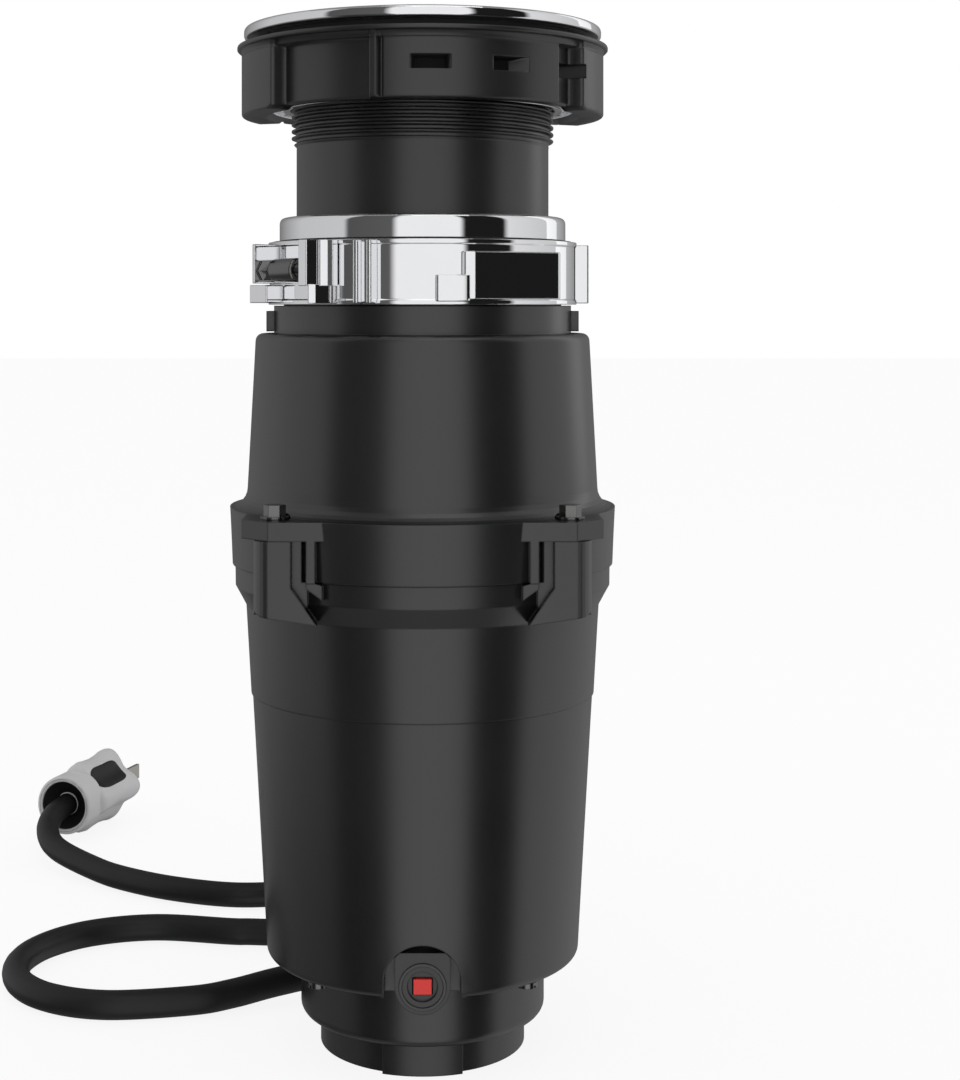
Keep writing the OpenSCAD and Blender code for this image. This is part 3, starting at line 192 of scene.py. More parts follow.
def spline(points, per_span):
    """Catmull-Rom curve through the points, as whole arrays, with per_span steps in each span."""
    p = np.asarray(points, float)
    p = np.concatenate([[2 * p[0] - p[1]], p, [2 * p[-1] - p[-2]]])
    t = (np.arange(per_span) / per_span)[None, :, None]
    a, b, c, d = p[:-3, None], p[1:-2, None], p[2:-1, None], p[3:, None]
    curve = 0.5 * (2 * b + (c - a) * t + (2 * a - 5 * b + 4 * c - d) * t ** 2
                   + (3 * b - a - 3 * c + d) * t ** 3)
    return np.concatenate([curve.reshape(-1, 3), p[-2:-1]])


def sweep(name, path, radii, sides):
    """A round bar along a path: at each point a circle of that radius stands square to the path,
    with one side kept level."""
    path = np.asarray(path, float)
    radii = np.broadcast_to(np.asarray(radii, float), len(path))
    along = np.gradient(path, axis=0)
    along /= np.linalg.norm(along, axis=1, keepdims=True)
    level = np.cross(along, [0, 0, 1.0])
    level /= np.linalg.norm(level, axis=1, keepdims=True)
    up = np.cross(level, along)
    a = (np.arange(sides) * TAU / sides)[None, :, None]
    rings = path[:, None] + radii[:, None, None] * (np.cos(a) * level[:, None] + np.sin(a) * up[:, None])
    return add_mesh(name, rings, capped_faces(len(path), sides))


def join(name, pieces):
    """One object from several, named anew."""
    bpy.ops.object.select_all(action="DESELECT")
    for piece in pieces:
        piece.select_set(True)
    bpy.context.view_layer.objects.active = pieces[0]
    bpy.ops.object.join()
    pieces[0].name = pieces[0].data.name = name
    return pieces[0]


# ---------------------------------------------------------------- cord
CORD_DIAMETER = 9.4 * MM
CORD_POINTS = np.array([
    (-24, 41.3, 7.6), (-33, 38, 7.5), (-49.9, 30.6, 6.2), (-63.2, 23.2, 5.1), (-76.2, 17.3, 4.8),
    (-103.1, 13.1, 4.8), (-122.8, 19.4, 4.8), (-136, 33.4, 4.8), (-140.8, 52.3, 4.8), (-135.7, 71.7, 4.8),
    (-121, 86.8, 4.8), (-98.1, 93.5, 4.8), (-70.5, 88.8, 4.8), (-62.3, 88.3, 4.8), (-40.5, 86.1, 4.8),
    (-35.3, 85.8, 4.8), (-1.8, 81.2, 4.8), (22.1, 88.9, 4.8), (36.4, 104.4, 4.8), (40.9, 123.6, 4.8),
    (35.7, 142.1, 4.8), (22.3, 155.7, 4.8), (3.5, 161.3, 4.8), (-16.8, 156.7, 4.8), (-40.8, 140.1, 4.8),
    (-54.5, 134.7, 4.8), (-74.7, 133.5, 4.8), (-98, 141.5, 4.8), (-118.3, 153.9, 4.9),
    (-132.8, 166.2, 5.5), (-152, 186.7, 7.8), (-159.1, 202, 11.2), (-159.4, 216.9, 14.2),
    (-155.5, 229, 16)]) * MM


def make_cord():
    """The power cord: a round jacket along the smooth curve through its points. Its thickness is set
    by the points' radius and the bevel only scales it, so that the curve's bounds fit the jacket."""
    path = spline(CORD_POINTS, 8)
    data = bpy.data.curves.new("power_cord_jacket", "CURVE")
    data.dimensions = "3D"
    line = data.splines.new("POLY")
    line.points.add(len(path) - 1)
    line.points.foreach_set("co", np.column_stack([path, np.ones(len(path))]).ravel())
    line.points.foreach_set("radius", np.full(len(path), CORD_DIAMETER / 2))
    data.bevel_depth = 1
    data.bevel_resolution = 8
    data.use_fill_caps = True
    cord = bpy.data.objects.new("power_cord_jacket", data)
    bpy.context.collection.objects.link(cord)
    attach(cord, "housing")
    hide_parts("power_cord")
    return cord, float(np.linalg.norm(np.diff(path, axis=0), axis=1).sum())


power_cord, cord_length = make_cord()


# ---------------------------------------------------------------- finishes
def shader_group(name, inputs, outputs):
    """An empty node group with its sockets, and its input and output nodes."""
    group = bpy.data.node_groups.new(name, "ShaderNodeTree")
    for label, kind, value in inputs:
        socket = group.interface.new_socket(label, in_out="INPUT", socket_type=kind)
        if value is not None:
            socket.default_value = value
    for label, kind in outputs:
        group.interface.new_socket(label, in_out="OUTPUT", socket_type=kind)
    return group, group.nodes.new("NodeGroupInput"), group.nodes.new("NodeGroupOutput")


def math_node(tree, operation, a, b, clamp=False):
    """A Math node whose inputs are sockets or numbers. Returns its output."""
    node = tree.nodes.new("ShaderNodeMath")
    node.operation = operation
    node.use_clamp = clamp
    for slot, value in enumerate([a, b]):
        if isinstance(value, bpy.types.NodeSocket):
            tree.links.new(value, node.inputs[slot])
        else:
            node.inputs[slot].default_value = value
    return node.outputs[0]


def noise(tree, coords, scale, detail, stretch=None):
    """Noise value at a scale in cells for each metre, drawn out by stretch where given."""
    if stretch is not None:
        mapping = tree.nodes.new("ShaderNodeMapping")
        mapping.inputs["Scale"].default_value = stretch
        tree.links.new(coords, mapping.inputs["Vector"])
        coords = mapping.outputs["Vector"]
    node = tree.nodes.new("ShaderNodeTexNoise")
    node.inputs["Detail"].default_value = detail
    tree.links.new(coords, node.inputs["Vector"])
    if isinstance(scale, bpy.types.NodeSocket):
        tree.links.new(scale, node.inputs["Scale"])
    else:
        node.inputs["Scale"].default_value = scale
    return node.outputs["Fac"]


SLOW_CELLS, SPECK_CELLS = 22.0, 420.0
SLOW_SHARE = 0.7


def make_grain_group():
    """Fine skin of a moulded or painted surface: small dimples, and a mottle of slow changes and
    specks that its gloss follows."""
    group, given, out = shader_group(
        "fine_skin",
        [("Vector", "NodeSocketVector", None), ("Scale", "NodeSocketFloat", 1500.0),
         ("Gloss from", "NodeSocketFloat", 0.35), ("Gloss to", "NodeSocketFloat", 0.5)],
        [("Height", "NodeSocketFloat"), ("Roughness", "NodeSocketFloat"), ("Mottle", "NodeSocketFloat")])
    fine = noise(group, given.outputs["Vector"], given.outputs["Scale"], 2.0)
    slow = noise(group, given.outputs["Vector"], SLOW_CELLS, 4.0)
    speck = noise(group, given.outputs["Vector"], SPECK_CELLS, 2.0)
    span = math_node(group, "SUBTRACT", given.outputs["Gloss to"], given.outputs["Gloss from"])
    mottle = math_node(group, "ADD", math_node(group, "MULTIPLY", slow, SLOW_SHARE),
                       math_node(group, "MULTIPLY", speck, 1 - SLOW_SHARE))
    rise = math_node(group, "MULTIPLY", span, mottle)
    gloss = math_node(group, "ADD", given.outputs["Gloss from"], rise)
    group.links.new(fine, out.inputs["Height"])
    group.links.new(gloss, out.inputs["Roughness"])
    group.links.new(mottle, out.inputs["Mottle"])
    return group


def make_edge_group():
    """Eased edges: the normal of a small round."""
    group, given, out = shader_group("eased_edge", [("Radius", "NodeSocketFloat", 0.0006)],
                                     [("Normal", "NodeSocketVector")])
    bevel = group.nodes.new("ShaderNodeBevel")
    bevel.samples = 4
    group.links.new(given.outputs["Radius"], bevel.inputs["Radius"])
    group.links.new(bevel.outputs["Normal"], out.inputs["Normal"])
    return group


FINE_SKIN = make_grain_group()
EASED_EDGE = make_edge_group()


class Finish:
    """A material with its Principled shader, object coordinates and short ways to add to both."""

    def __init__(self, name, color, roughness, metallic=0.0, specular=0.5):
        self.material = bpy.data.materials.new(name)
        self.material.use_nodes = True
        self.tree = self.material.node_tree
        self.shader = next(n for n in self.tree.nodes if n.type == "BSDF_PRINCIPLED")
        self.shader.inputs["Base Color"].default_value = (*color, 1)
        self.shader.inputs["Roughness"].default_value = roughness
        self.shader.inputs["Metallic"].default_value = metallic
        self.shader.inputs["Specular IOR Level"].default_value = specular
        self.coords = self.tree.nodes.new("ShaderNodeTexCoord").outputs["Object"]

    def link(self, a, b):
        """Joins an output to an input."""
        self.tree.links.new(a, b)

    def group(self, group, **values):
        """A use of a node group, with some of its inputs set."""
        node = self.tree.nodes.new("ShaderNodeGroup")
        node.node_tree = group
        for label, value in values.items():
            node.inputs[label.replace("_", " ")].default_value = value
        return node

    def mix(self, mask, a, b):
        """Colour between a and b by the mask, into Base Color."""
        node = self.tree.nodes.new("ShaderNodeMix")
        node.data_type = "RGBA"
        node.inputs["A"].default_value = (*a, 1)
        node.inputs["B"].default_value = (*b, 1)
        self.link(mask, node.inputs["Factor"])
        self.link(node.outputs["Result"], self.shader.inputs["Base Color"])

    def bump(self, height, distance, normal):
        """Relief of that depth on the normal, into Normal."""
        node = self.tree.nodes.new("ShaderNodeBump")
        node.inputs["Distance"].default_value = distance
        node.inputs["Strength"].default_value = 1.0
        self.link(height, node.inputs["Height"])
        if normal is not None:
            self.link(normal, node.inputs["Normal"])
        self.link(node.outputs["Normal"], self.shader.inputs["Normal"])

    def edge_normal(self, edge):
        """Normal of eased edges of that radius, or None where there is none."""
        return self.group(EASED_EDGE, Radius=edge).outputs["Normal"] if edge else None


def skin(name, color, gloss, grain, depth, edge, specular=0.5, lift=1.35):
    """A painted or moulded finish: fine skin, slow mottle and eased edges. The mottle goes from the
    colour divided by lift to the colour times lift."""
    f = Finish(name, color, sum(gloss) / 2, specular=specular)
    fine = f.group(FINE_SKIN, Scale=grain, Gloss_from=gloss[0], Gloss_to=gloss[1])
    f.link(f.coords, fine.inputs["Vector"])
    f.link(fine.outputs["Roughness"], f.shader.inputs["Roughness"])
    f.mix(fine.outputs["Mottle"], [c / lift for c in color], [c * lift for c in color])
    f.bump(fine.outputs["Height"], depth, f.edge_normal(edge))
    return f


METAL_GRAIN = 900.0
METAL_MOTTLE = 0.93


def metal(name, color, gloss, edge, depth=2e-6, streaks=None):
    """A bare or plated metal: slow smudges in its gloss, and fine streaks where it was ground."""
    f = Finish(name, color, sum(gloss) / 2, metallic=1.0)
    fine = f.group(FINE_SKIN, Scale=METAL_GRAIN, Gloss_from=gloss[0], Gloss_to=gloss[1])
    f.link(f.coords, fine.inputs["Vector"])
    f.link(fine.outputs["Roughness"], f.shader.inputs["Roughness"])
    f.mix(fine.outputs["Mottle"], [c * METAL_MOTTLE for c in color], color)
    height = fine.outputs["Height"] if streaks is None else noise(f.tree, f.coords, 1.0, 3.0, streaks)
    f.bump(height, depth, f.edge_normal(edge))
    return f


# Colour, gloss from and to, grain in cells for each metre, depth of the grain and radius of the
# edges, then the specular level and the lift where they aren't the usual ones.
SKINS = {
    "black_enamel": ((0.0075, 0.0075, 0.008), (0.25, 0.33), 1300.0, 8e-6, 0.0007, 0.85),
    "black_plastic": ((0.0085, 0.0085, 0.009), (0.28, 0.37), 1900.0, 7e-6, 0.0005, 0.75),
    "elbow_plastic": ((0.013, 0.013, 0.014), (0.12, 0.2), 700.0, 4e-6, 0.0008, 0.5),
    "black_rubber": ((0.02, 0.02, 0.021), (0.55, 0.75), 2200.0, 1.5e-5, 0.0004, 0.3),
    "grey_trim": ((0.045, 0.045, 0.047), (0.35, 0.5), 1900.0, 6e-6, 0.0003),
    "red_plastic": ((0.7, 0.028, 0.022), (0.28, 0.4), 1500.0, 5e-6, 0.0004, 0.5, 1.1),
    "fan_plastic": ((0.72, 0.7, 0.65), (0.4, 0.5), 1500.0, 6e-6, 0.0003, 0.5, 1.05),
    "silver_plastic": ((0.56, 0.56, 0.57), (0.25, 0.36), 1400.0, 6e-6, 0.0006, 0.5, 1.06),
    "cord_jacket": ((0.01, 0.01, 0.0105), (0.34, 0.46), 1200.0, 1e-5, 0.0, 0.32),
    "rectifier_case": ((0.02, 0.03, 0.05), (0.2, 0.3), 900.0, 4e-6, 0.0003),
    "brown_board": ((0.18, 0.1, 0.05), (0.45, 0.6), 600.0, 8e-6, 0.0003),
    "ferrite": ((0.05, 0.05, 0.055), (0.5, 0.7), 1400.0, 1.5e-5, 0.0004),
    "carbon": ((0.02, 0.02, 0.02), (0.45, 0.6), 1800.0, 1e-5, 0.0003),
}

# Colour, gloss from and to and radius of the edges, then the depth of the relief and the streaks'
# cells for each metre along X, Y and Z where there are any.
METALS = {
    "dark_steel": ((0.17, 0.168, 0.165), (0.13, 0.24), 0.0004),
    "chrome": ((0.86, 0.865, 0.875), (0.025, 0.06), 0.0003, 1e-6),
    "zinc": ((0.62, 0.63, 0.65), (0.2, 0.34), 0.0003),
    "steel": ((0.55, 0.56, 0.58), (0.22, 0.34), 0.0003, 4e-6, (300, 300, 2500)),
    "stainless": ((0.6, 0.61, 0.62), (0.2, 0.32), 0.0003, 4e-6, (1500, 1500, 200)),
    "copper": ((0.72, 0.32, 0.16), (0.25, 0.4), 0.0003, 8e-6, (900, 900, 900)),
    "brass": ((0.72, 0.52, 0.24), (0.22, 0.34), 0.0003),
    "nickel": ((0.7, 0.68, 0.62), (0.16, 0.26), 0.0003),
    "lamination": ((0.3, 0.3, 0.31), (0.35, 0.5), 0.0, 1.2e-5, (30, 30, 2200)),
}


def make_finishes():
    """Every finish by the name of its slot in the record."""
    made = {name: skin(name, *values) for name, values in SKINS.items()}
    made |= {name: metal(name, *values) for name, values in METALS.items()}
    return {name: finish.material for name, finish in made.items()}


FINISHES = make_finishes()
NODE_SLOT = {s["node"]: s["material_slot"] for s in frame["record"]["subparts"]}


def dress(piece, slot, body="housing", replaced=()):
    """Gives a new piece its finish, its body and the nodes that it stands for."""
    piece.data.materials.clear()
    piece.data.materials.append(FINISHES[slot])
    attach(piece, body)
    if replaced:
        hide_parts(*replaced)
    return piece


for node_name, node_object in frame["nodes"].items():
    for material_slot in node_object.material_slots:
        material_slot.material = FINISHES[NODE_SLOT[node_name]]
power_cord.data.materials.append(FINISHES["cord_jacket"])


# ---------------------------------------------------------------- sink mount
TUBE_OUT, TUBE_IN = 38.3 * MM, 36.8 * MM
SLEEVE_OUT, SLEEVE_IN = 40.4 * MM, 38.4 * MM
THREAD_OUT = 42.0 * MM
THREAD_PITCH = 2.2 * MM
THREAD_RISE = 22.1 * MM
RIDGE_HEIGHT, RIDGE_FLANK = 1.55, 2.6
NUT_BORE = 42.4 * MM


def smooth(x, a, b):
    """0 below a, 1 above b and the cubic 3t^2 - 2t^3 between them."""
    t = np.clip((x - a) / (b - a), 0, 1)
    return t * t * (3 - 2 * t)


def make_sink_flange():
    """The bright flange: a tube, a rim with eased edges, and a mouth that falls in as a quarter ellipse."""
    foot, top, rim = low("sink_flange")[2], high("sink_flange")[2], high("sink_flange")[0]
    seat = high("sink_gasket")[2]
    t = np.linspace(0, math.pi / 2, 24)
    lip, depth = 12.35 * MM, 4 * MM
    mouth = np.column_stack([TUBE_IN + lip * (1 - np.sin(t)), top - depth * (1 - np.cos(t))])
    corners = [(TUBE_IN, foot), (TUBE_OUT, foot), (TUBE_OUT, seat),
               (rim, seat), (rim, top), (TUBE_IN + lip, top)]
    rim_outline = eased(corners, np.array([0.3, 0.3, 0.3, 1.3, 1.5, 0.01]) * MM, steps=12)
    return revolve("sink_flange_rim", np.concatenate([rim_outline, mouth[1:]]), 360)


def make_sleeve():
    """The threaded sleeve: r = wall + depth x ridge. The ridge is a trapezium in the fraction of
    z / pitch + angle / turn, which makes a left-hand helix, and it fades out at both ends of the
    thread."""
    foot, top = low("threaded_sleeve")[2], high("threaded_sleeve")[2]
    start = high("support_ring")[2] + THREAD_RISE
    steps = 256
    z = np.concatenate([np.linspace(foot, start, 12)[:-1], np.linspace(start, top, 300)])
    a = np.arange(steps)[:, None] / steps
    phase = (z[None] / THREAD_PITCH + a) % 1
    ridge = np.clip(RIDGE_HEIGHT - np.abs(phase * 2 - 1) * RIDGE_FLANK, 0, 1)
    fade = smooth(z, start, start + 1.2 * THREAD_PITCH) * (1 - smooth(z, top - 1.4 * MM, top - 0.2 * MM))
    outer = SLEEVE_OUT + (THREAD_OUT - SLEEVE_OUT) * ridge * fade[None]
    inner = np.full((steps, 2), SLEEVE_IN)
    heights = np.tile(np.concatenate([z, [top, foot]]), (steps, 1))
    return surface_of_turn("sleeve_with_thread", np.concatenate([outer, inner], 1), heights)


def make_backup_ring():
    """Pressed ring with a rolled outer edge, open below, that sits in the nut's underside."""
    foot, top, out = low("backup_ring")[2], high("backup_ring")[2], high("backup_ring")[0]
    groove_in, groove_out, groove_top = NUT_BORE + 2.2 * MM, out - 1.6 * MM, top - 0.9 * MM
    corners = [(NUT_BORE, foot), (groove_in, foot), (groove_in, groove_top), (groove_out, groove_top),
               (groove_out, foot), (out, foot), (out, top), (NUT_BORE, top)]
    return revolve("backup_ring_pressed",
                   eased(corners, np.array([0.3, 0.3, 0.3, 0.3, 0.3, 0.6, 0.8, 0.3]) * MM))


def band(angle, start, end, soft):
    """1 between two angles in degrees and 0 outside, with soft edges this many degrees wide."""
    a = (angle - start + 180) % 360 - 180
    width = end - start
    a = np.where(a < width / 2 - 180, a + 360, a)
    return smooth(a, -soft / 2, soft / 2) * (1 - smooth(a, width - soft / 2, width + soft / 2))


NUT_PANELS = [(-12.7, 48), (128.1, 188.8), (198.5, 237.5)]
NUT_LOBES = [(57.7, 118.4), (247.2, 307.9)]
NUT_RIBS = [(-16.3, -12.9), (124.5, 127.9), (194.9, 198.3)]
NUT_SLOTS = [2.5, 28.2, 53.9, 143.2, 168.9, 208, 230]
SLOT_W, SLOT_H, SLOT_DROP, SLOT_DEPTH = 11.8 * MM, 4.4 * MM, 8.4 * MM, 7.2 * MM


def make_mount_nut():
    """The hand nut: its wall's radius steps out over panels, ribs and deep lobes, and steps in at the
    slots. The lobes hang a little below it, a thin flange closes its top, and a wide counterbore
    below takes the backup ring."""
    top, rim = high("mount_nut")[2], high("mount_nut")[0]
    lobe_foot = low("mount_nut")[2]
    foot, shelf = lobe_foot + 1.2 * MM, high("backup_ring")[2] + 0.1 * MM
    seat = high("backup_ring")[0] + 0.3 * MM
    wall, panel, lobe = rim - 6.3 * MM, rim - 3.3 * MM, rim - 1.4 * MM
    steps = 1080
    angle = np.arange(steps) * 360 / steps
    panels = sum(band(angle, a, b, 1.1) for a, b in NUT_PANELS)
    lobes = sum(band(angle, a, b, 1.4) for a, b in NUT_LOBES)
    ribs = sum(band(angle, a, b, 1.6) for a, b in NUT_RIBS)
    drops = sum(band(angle, a + 1.2, b - 1.2, 4.5) for a, b in NUT_LOBES)
    radius = wall + (panel - wall) * np.clip(panels, 0, 1) + (lobe - wall) * np.clip(lobes, 0, 1)
    radius = np.maximum(radius, wall + (lobe - wall) * np.clip(ribs, 0, 1))
    below = foot - (foot - lobe_foot) * np.clip(drops, 0, 1)
    slot_top = top - SLOT_DROP
    slot_low = slot_top - SLOT_H
    ease, cut = 0.9 * MM, 0.12 * MM
    under = top - 3.3 * MM
    rows = np.array([foot + ease * 1.6, foot + 2.4 * MM, slot_low - 0.6 * MM, slot_low - 0.2 * MM, slot_low,
                     slot_low + cut, slot_low + 0.5 * MM, slot_top - 0.5 * MM, slot_top - cut, slot_top,
                     slot_top + 0.2 * MM, slot_top + 0.6 * MM, under - 1.2 * MM, under - 0.2 * MM])
    half = np.degrees(SLOT_W / 2 / panel)
    across = sum(band(angle, a - half, a + half, 0.1) for a in NUT_SLOTS)
    along = ((rows > slot_low + cut / 2) & (rows < slot_top - cut / 2)).astype(float)
    hollow = across[:, None] * along[None]
    slot_floor = wall - SLOT_DEPTH
    wall_rows = radius[:, None] * (1 - hollow) + slot_floor * hollow
    turn = np.linspace(0, math.pi / 2, 5)[None]
    low_r = radius[:, None] - ease * (1 - np.sin(turn))
    low_z = below[:, None] + ease * (1 - np.cos(turn))
    step = np.maximum(radius[:, None], wall + 3.6 * MM)
    ones = np.ones((steps, 1))
    flange = [(rim - 0.9 * MM, 1.5), (rim - 0.3 * MM, 1.42), (rim, 1.1), (rim, 0.5), (rim - 0.12 * MM, 0.15),
              (rim - 0.5 * MM, 0.0), (rim - 1.5 * MM, 0.0)]
    inner = 4 * MM
    r = np.concatenate([
        NUT_BORE * ones, seat * ones, seat * ones, (seat + 0.3 * MM) * ones, low_r, wall_rows,
        step - 0.3 * MM, step, step, ones * np.array([[p[0] for p in flange]]),
        (NUT_BORE + inner) * ones, NUT_BORE * ones], 1)
    z = np.concatenate([
        shelf * ones, shelf * ones, below[:, None] + 0.3 * MM, below[:, None], low_z, rows[None] * ones,
        under * ones, (under + 0.25 * MM) * ones, (top - 1.55 * MM) * ones,
        ones * np.array([[top - p[1] * MM for p in flange]]), top * ones, top * ones], 1)
    return surface_of_turn("mount_nut_moulded", r, z)


def make_slot_painted_shade():
    """Painted shade: dark rubber backs set deep in the nut's slots, just in front of the slot floors, stand
    in for the shade there.
    """
    slot_top = high("mount_nut")[2] - SLOT_DROP
    face = 13.2 * MM - high("mount_nut")[0]
    half, thick, edge, play = 5.8 * MM, 1 * MM, 0.1 * MM, 0.05 * MM
    outline = eased([(-half, face), (half, face), (half, face + thick), (-half, face + thick)], edge, steps=3)
    # Painted shade: one dark back in each slot.
    parts = [slab("slot_painted_shade", outline, slot_top - SLOT_H + play, slot_top - play, play, turned(angle))
             for angle in NUT_SLOTS]
    return join("nut_slot_painted_shade", parts)


def make_support_ring():
    """The bright ring above the clamp, with a rounded shoulder."""
    foot, top, out = low("support_ring")[2], high("support_ring")[2], high("support_ring")[0]
    inner = SLEEVE_OUT + 0.1 * MM
    outline = eased([(inner, foot), (out, foot), (out, top), (inner, top)],
                    np.array([0.3, 0.4, 2.2, 0.5]) * MM, steps=12)
    return revolve("support_ring_bright", outline, 360)


dress(make_sink_flange(), "chrome", replaced=["sink_flange"])
dress(make_sleeve(), "black_plastic", replaced=["threaded_sleeve"])
dress(make_backup_ring(), "chrome", "thrust_ring", ["backup_ring"])
dress(make_mount_nut(), "black_plastic", "nut", ["mount_nut"])
# Painted shade deep in the nut's slots.
dress(make_slot_painted_shade(), "black_rubber", "nut")
dress(make_support_ring(), "chrome", replaced=["support_ring"])


# ---------------------------------------------------------------- clamp
CLAMP_IN = 48.15 * MM
CLAMP_OUT = CLAMP_IN + 1.2 * MM
SCREW_LINE = CLAMP_OUT + 4 * MM
FIN_ANGLES = (-19.3, 100, -140.7)
SCREW_ANGLE = -50
STOP_ANGLE = 27
FOLD_RADIUS = 0.22 * MM
PLATE_X = -11.6 * MM


def block(name, size, edge, place):
    """A plate or block with eased corners: a rounded outline in x-y, carried up z."""
    (x0, x1), (y0, y1), (z0, z1) = size
    outline = eased([(x0, y0), (x1, y0), (x1, y1), (x0, y1)], edge, steps=5)
    return slab(name, outline, z0, z1, edge * 0.7, place)


def polar(radius, angle):
    """Point at a radius and an angle in degrees from the front towards the right."""
    a = np.radians(angle)
    return np.stack([radius * np.sin(a), -radius * np.cos(a)], -1)


def make_clamp_fin(angle, foot, top):
    """Two upright walls with the fold between them, at an angle round the band."""
    wall, gap, deep = 0.8 * MM, 2.1 * MM, 1.0 * MM
    parts = [block("clamp_fin", ((x - wall, x + wall), (-CLAMP_OUT - 5.1 * MM, -CLAMP_OUT + deep),
                                 (foot + 0.4 * MM, top - 0.4 * MM)), 0.6 * MM, turned(angle))
             for x in (-gap, gap)]
    parts.append(block("clamp_fold", ((-2.0 * MM, 2.0 * MM), (-CLAMP_OUT - 2.0 * MM, -CLAMP_OUT + deep),
                                      (foot + 0.6 * MM, top - 0.6 * MM)), 0.5 * MM, turned(angle)))
    return parts


def make_clamp():
    """The clamp band with its fins, stop block, step, screw ear, foot and low fold."""
    foot, top = low("clamp_band")[2], high("clamp_band")[2]
    flat = CLAMP_OUT - 0.35 * MM
    corners = [(CLAMP_IN, foot), (CLAMP_OUT, foot), (CLAMP_OUT, foot + 1.3 * MM), (flat, foot + 1.7 * MM),
               (flat, top - 1.7 * MM), (CLAMP_OUT, top - 1.3 * MM), (CLAMP_OUT, top), (CLAMP_IN, top)]
    ring = eased(corners, np.array([0.2, 0.3, 0.2, 0.2, 0.2, 0.2, 0.3, 0.2]) * MM)
    parts = [revolve("clamp_ring", ring, 360)]
    for angle in FIN_ANGLES:
        parts += make_clamp_fin(angle, foot, top)
    stop = eased(np.array([(-11.5, -48.15), (-11, -49.35), (-8.5, -50.85), (20.7, -50.85), (21.6, -49.95),
                           (21.8, -42), (0, -46.4)]) * MM, np.array([0.3, 0.4, 0.6, 0.5, 0.4, 0.5, 0.5]) * MM)
    parts.append(slab("clamp_stop", stop, foot + 1.6 * MM, foot + 15.9 * MM, 0.45 * MM, turned(STOP_ANGLE)))
    arc = np.linspace(4.6, 16, 12)
    step = np.concatenate([polar(CLAMP_OUT + 1.6 * MM, arc), polar(CLAMP_IN + 0.2 * MM, arc[::-1])])
    parts.append(slab("clamp_step", step, foot + 1 * MM, foot + 8.9 * MM, 0.35 * MM))
    ear = ((PLATE_X - 1.2 * MM, PLATE_X), (-SCREW_LINE - 4.4 * MM, -SCREW_LINE + 7.4 * MM),
           (foot + 6.5 * MM, top - 1.1 * MM))
    parts.append(block("clamp_ear", ear, 0.4 * MM, turned(SCREW_ANGLE)))
    shoe = ((PLATE_X - 8 * MM, PLATE_X + 1 * MM), (-SCREW_LINE - 0.6 * MM, -SCREW_LINE + 7.2 * MM),
            (foot + 0.5 * MM, foot + 6.1 * MM))
    parts.append(block("clamp_foot", shoe, 0.5 * MM, turned(SCREW_ANGLE)))
    fold = np.array([(-34.4, -36.0), (-34.4, -43.6), (-34.2, -44.9), (-32.1, -44.8), (-27.4, -42.7),
                     (-26.7, -43.6), (-25.4, -42.6), (-27, -38.6)]) * MM
    parts.append(slab("clamp_low_fold", eased(fold, FOLD_RADIUS, steps=4),
                      foot + 0.4 * MM, foot + 6.1 * MM, 0.25 * MM))
    return join("clamp_band_bright", parts)


def make_bracket():
    """Folded bracket that takes the pull of the screw: flat facets on a bent strip."""
    foot, top = low("clamp_bracket")[2], high("clamp_bracket")[2]
    fold = np.array([(-37.2, -40.6), (-37.2, -42.9), (-34.8, -44.8), (-30.9, -43.1), (-30.7, -44.6),
                     (-28.4, -44.4), (-26.8, -45.0), (-25.4, -42.6), (-30, -38.6)]) * MM
    return slab("clamp_bracket_folded", eased(fold, FOLD_RADIUS, steps=4), foot, top, 0.25 * MM)


def along_screw(offset):
    """Points on the screw's axis at these offsets from the middle of the barrel."""
    height = (low("clamp_barrel")[2] + high("clamp_barrel")[2]) / 2
    local = np.stack([offset, np.full(len(offset), -SCREW_LINE), np.full(len(offset), height)], -1)
    return turned(SCREW_ANGLE)(local)


def make_barrel():
    """The blackened barrel: a drum with rounded shoulders."""
    t = np.linspace(0, math.pi / 2, 7)
    ease = 0.9 * MM
    start, end, radius = -6 * MM, 5.7 * MM, 3.7 * MM
    x = np.concatenate([start + ease * (1 - np.cos(t)), end - ease * (1 - np.sin(t))])
    r = np.concatenate([radius - ease * (1 - np.sin(t)), radius - ease * (1 - np.cos(t))])
    return sweep("clamp_barrel_drum", along_screw(x), r, 48)


def make_clamp_screw():
    """The tightening screw: its peened end behind the ear, a hexagon before it, and the shank."""
    x = np.array([-14.7, -14.4, -13.4, -13.1, -13.0, 9.5, 9.8]) * MM
    r = np.array([2.2, 2.6, 2.6, 2.3, 2.0, 2.0, 1.7]) * MM
    shank = sweep("clamp_shank", along_screw(x), r, 32)
    hexagon = sweep("clamp_hexagon", along_screw(np.array([-11.3, -10.9, -6.7, -6.3]) * MM),
                    np.array([3.1, 3.46, 3.46, 3.1]) * MM, 6)
    hexagon.data.polygons.foreach_set("use_smooth", np.zeros(len(hexagon.data.polygons), bool))
    return join("clamp_screw_black", [shank, hexagon])


dress(make_clamp(), "chrome", "clamp", ["clamp_band"])
dress(make_bracket(), "chrome", "clamp", ["clamp_bracket"])
dress(make_barrel(), "dark_steel", "clamp", ["clamp_barrel"])
dress(make_clamp_screw(), "dark_steel", "tightener", ["clamp_screw"])


# ---------------------------------------------------------------- splash baffle
FLAPS = 8
FLAP_FALL = 1.6


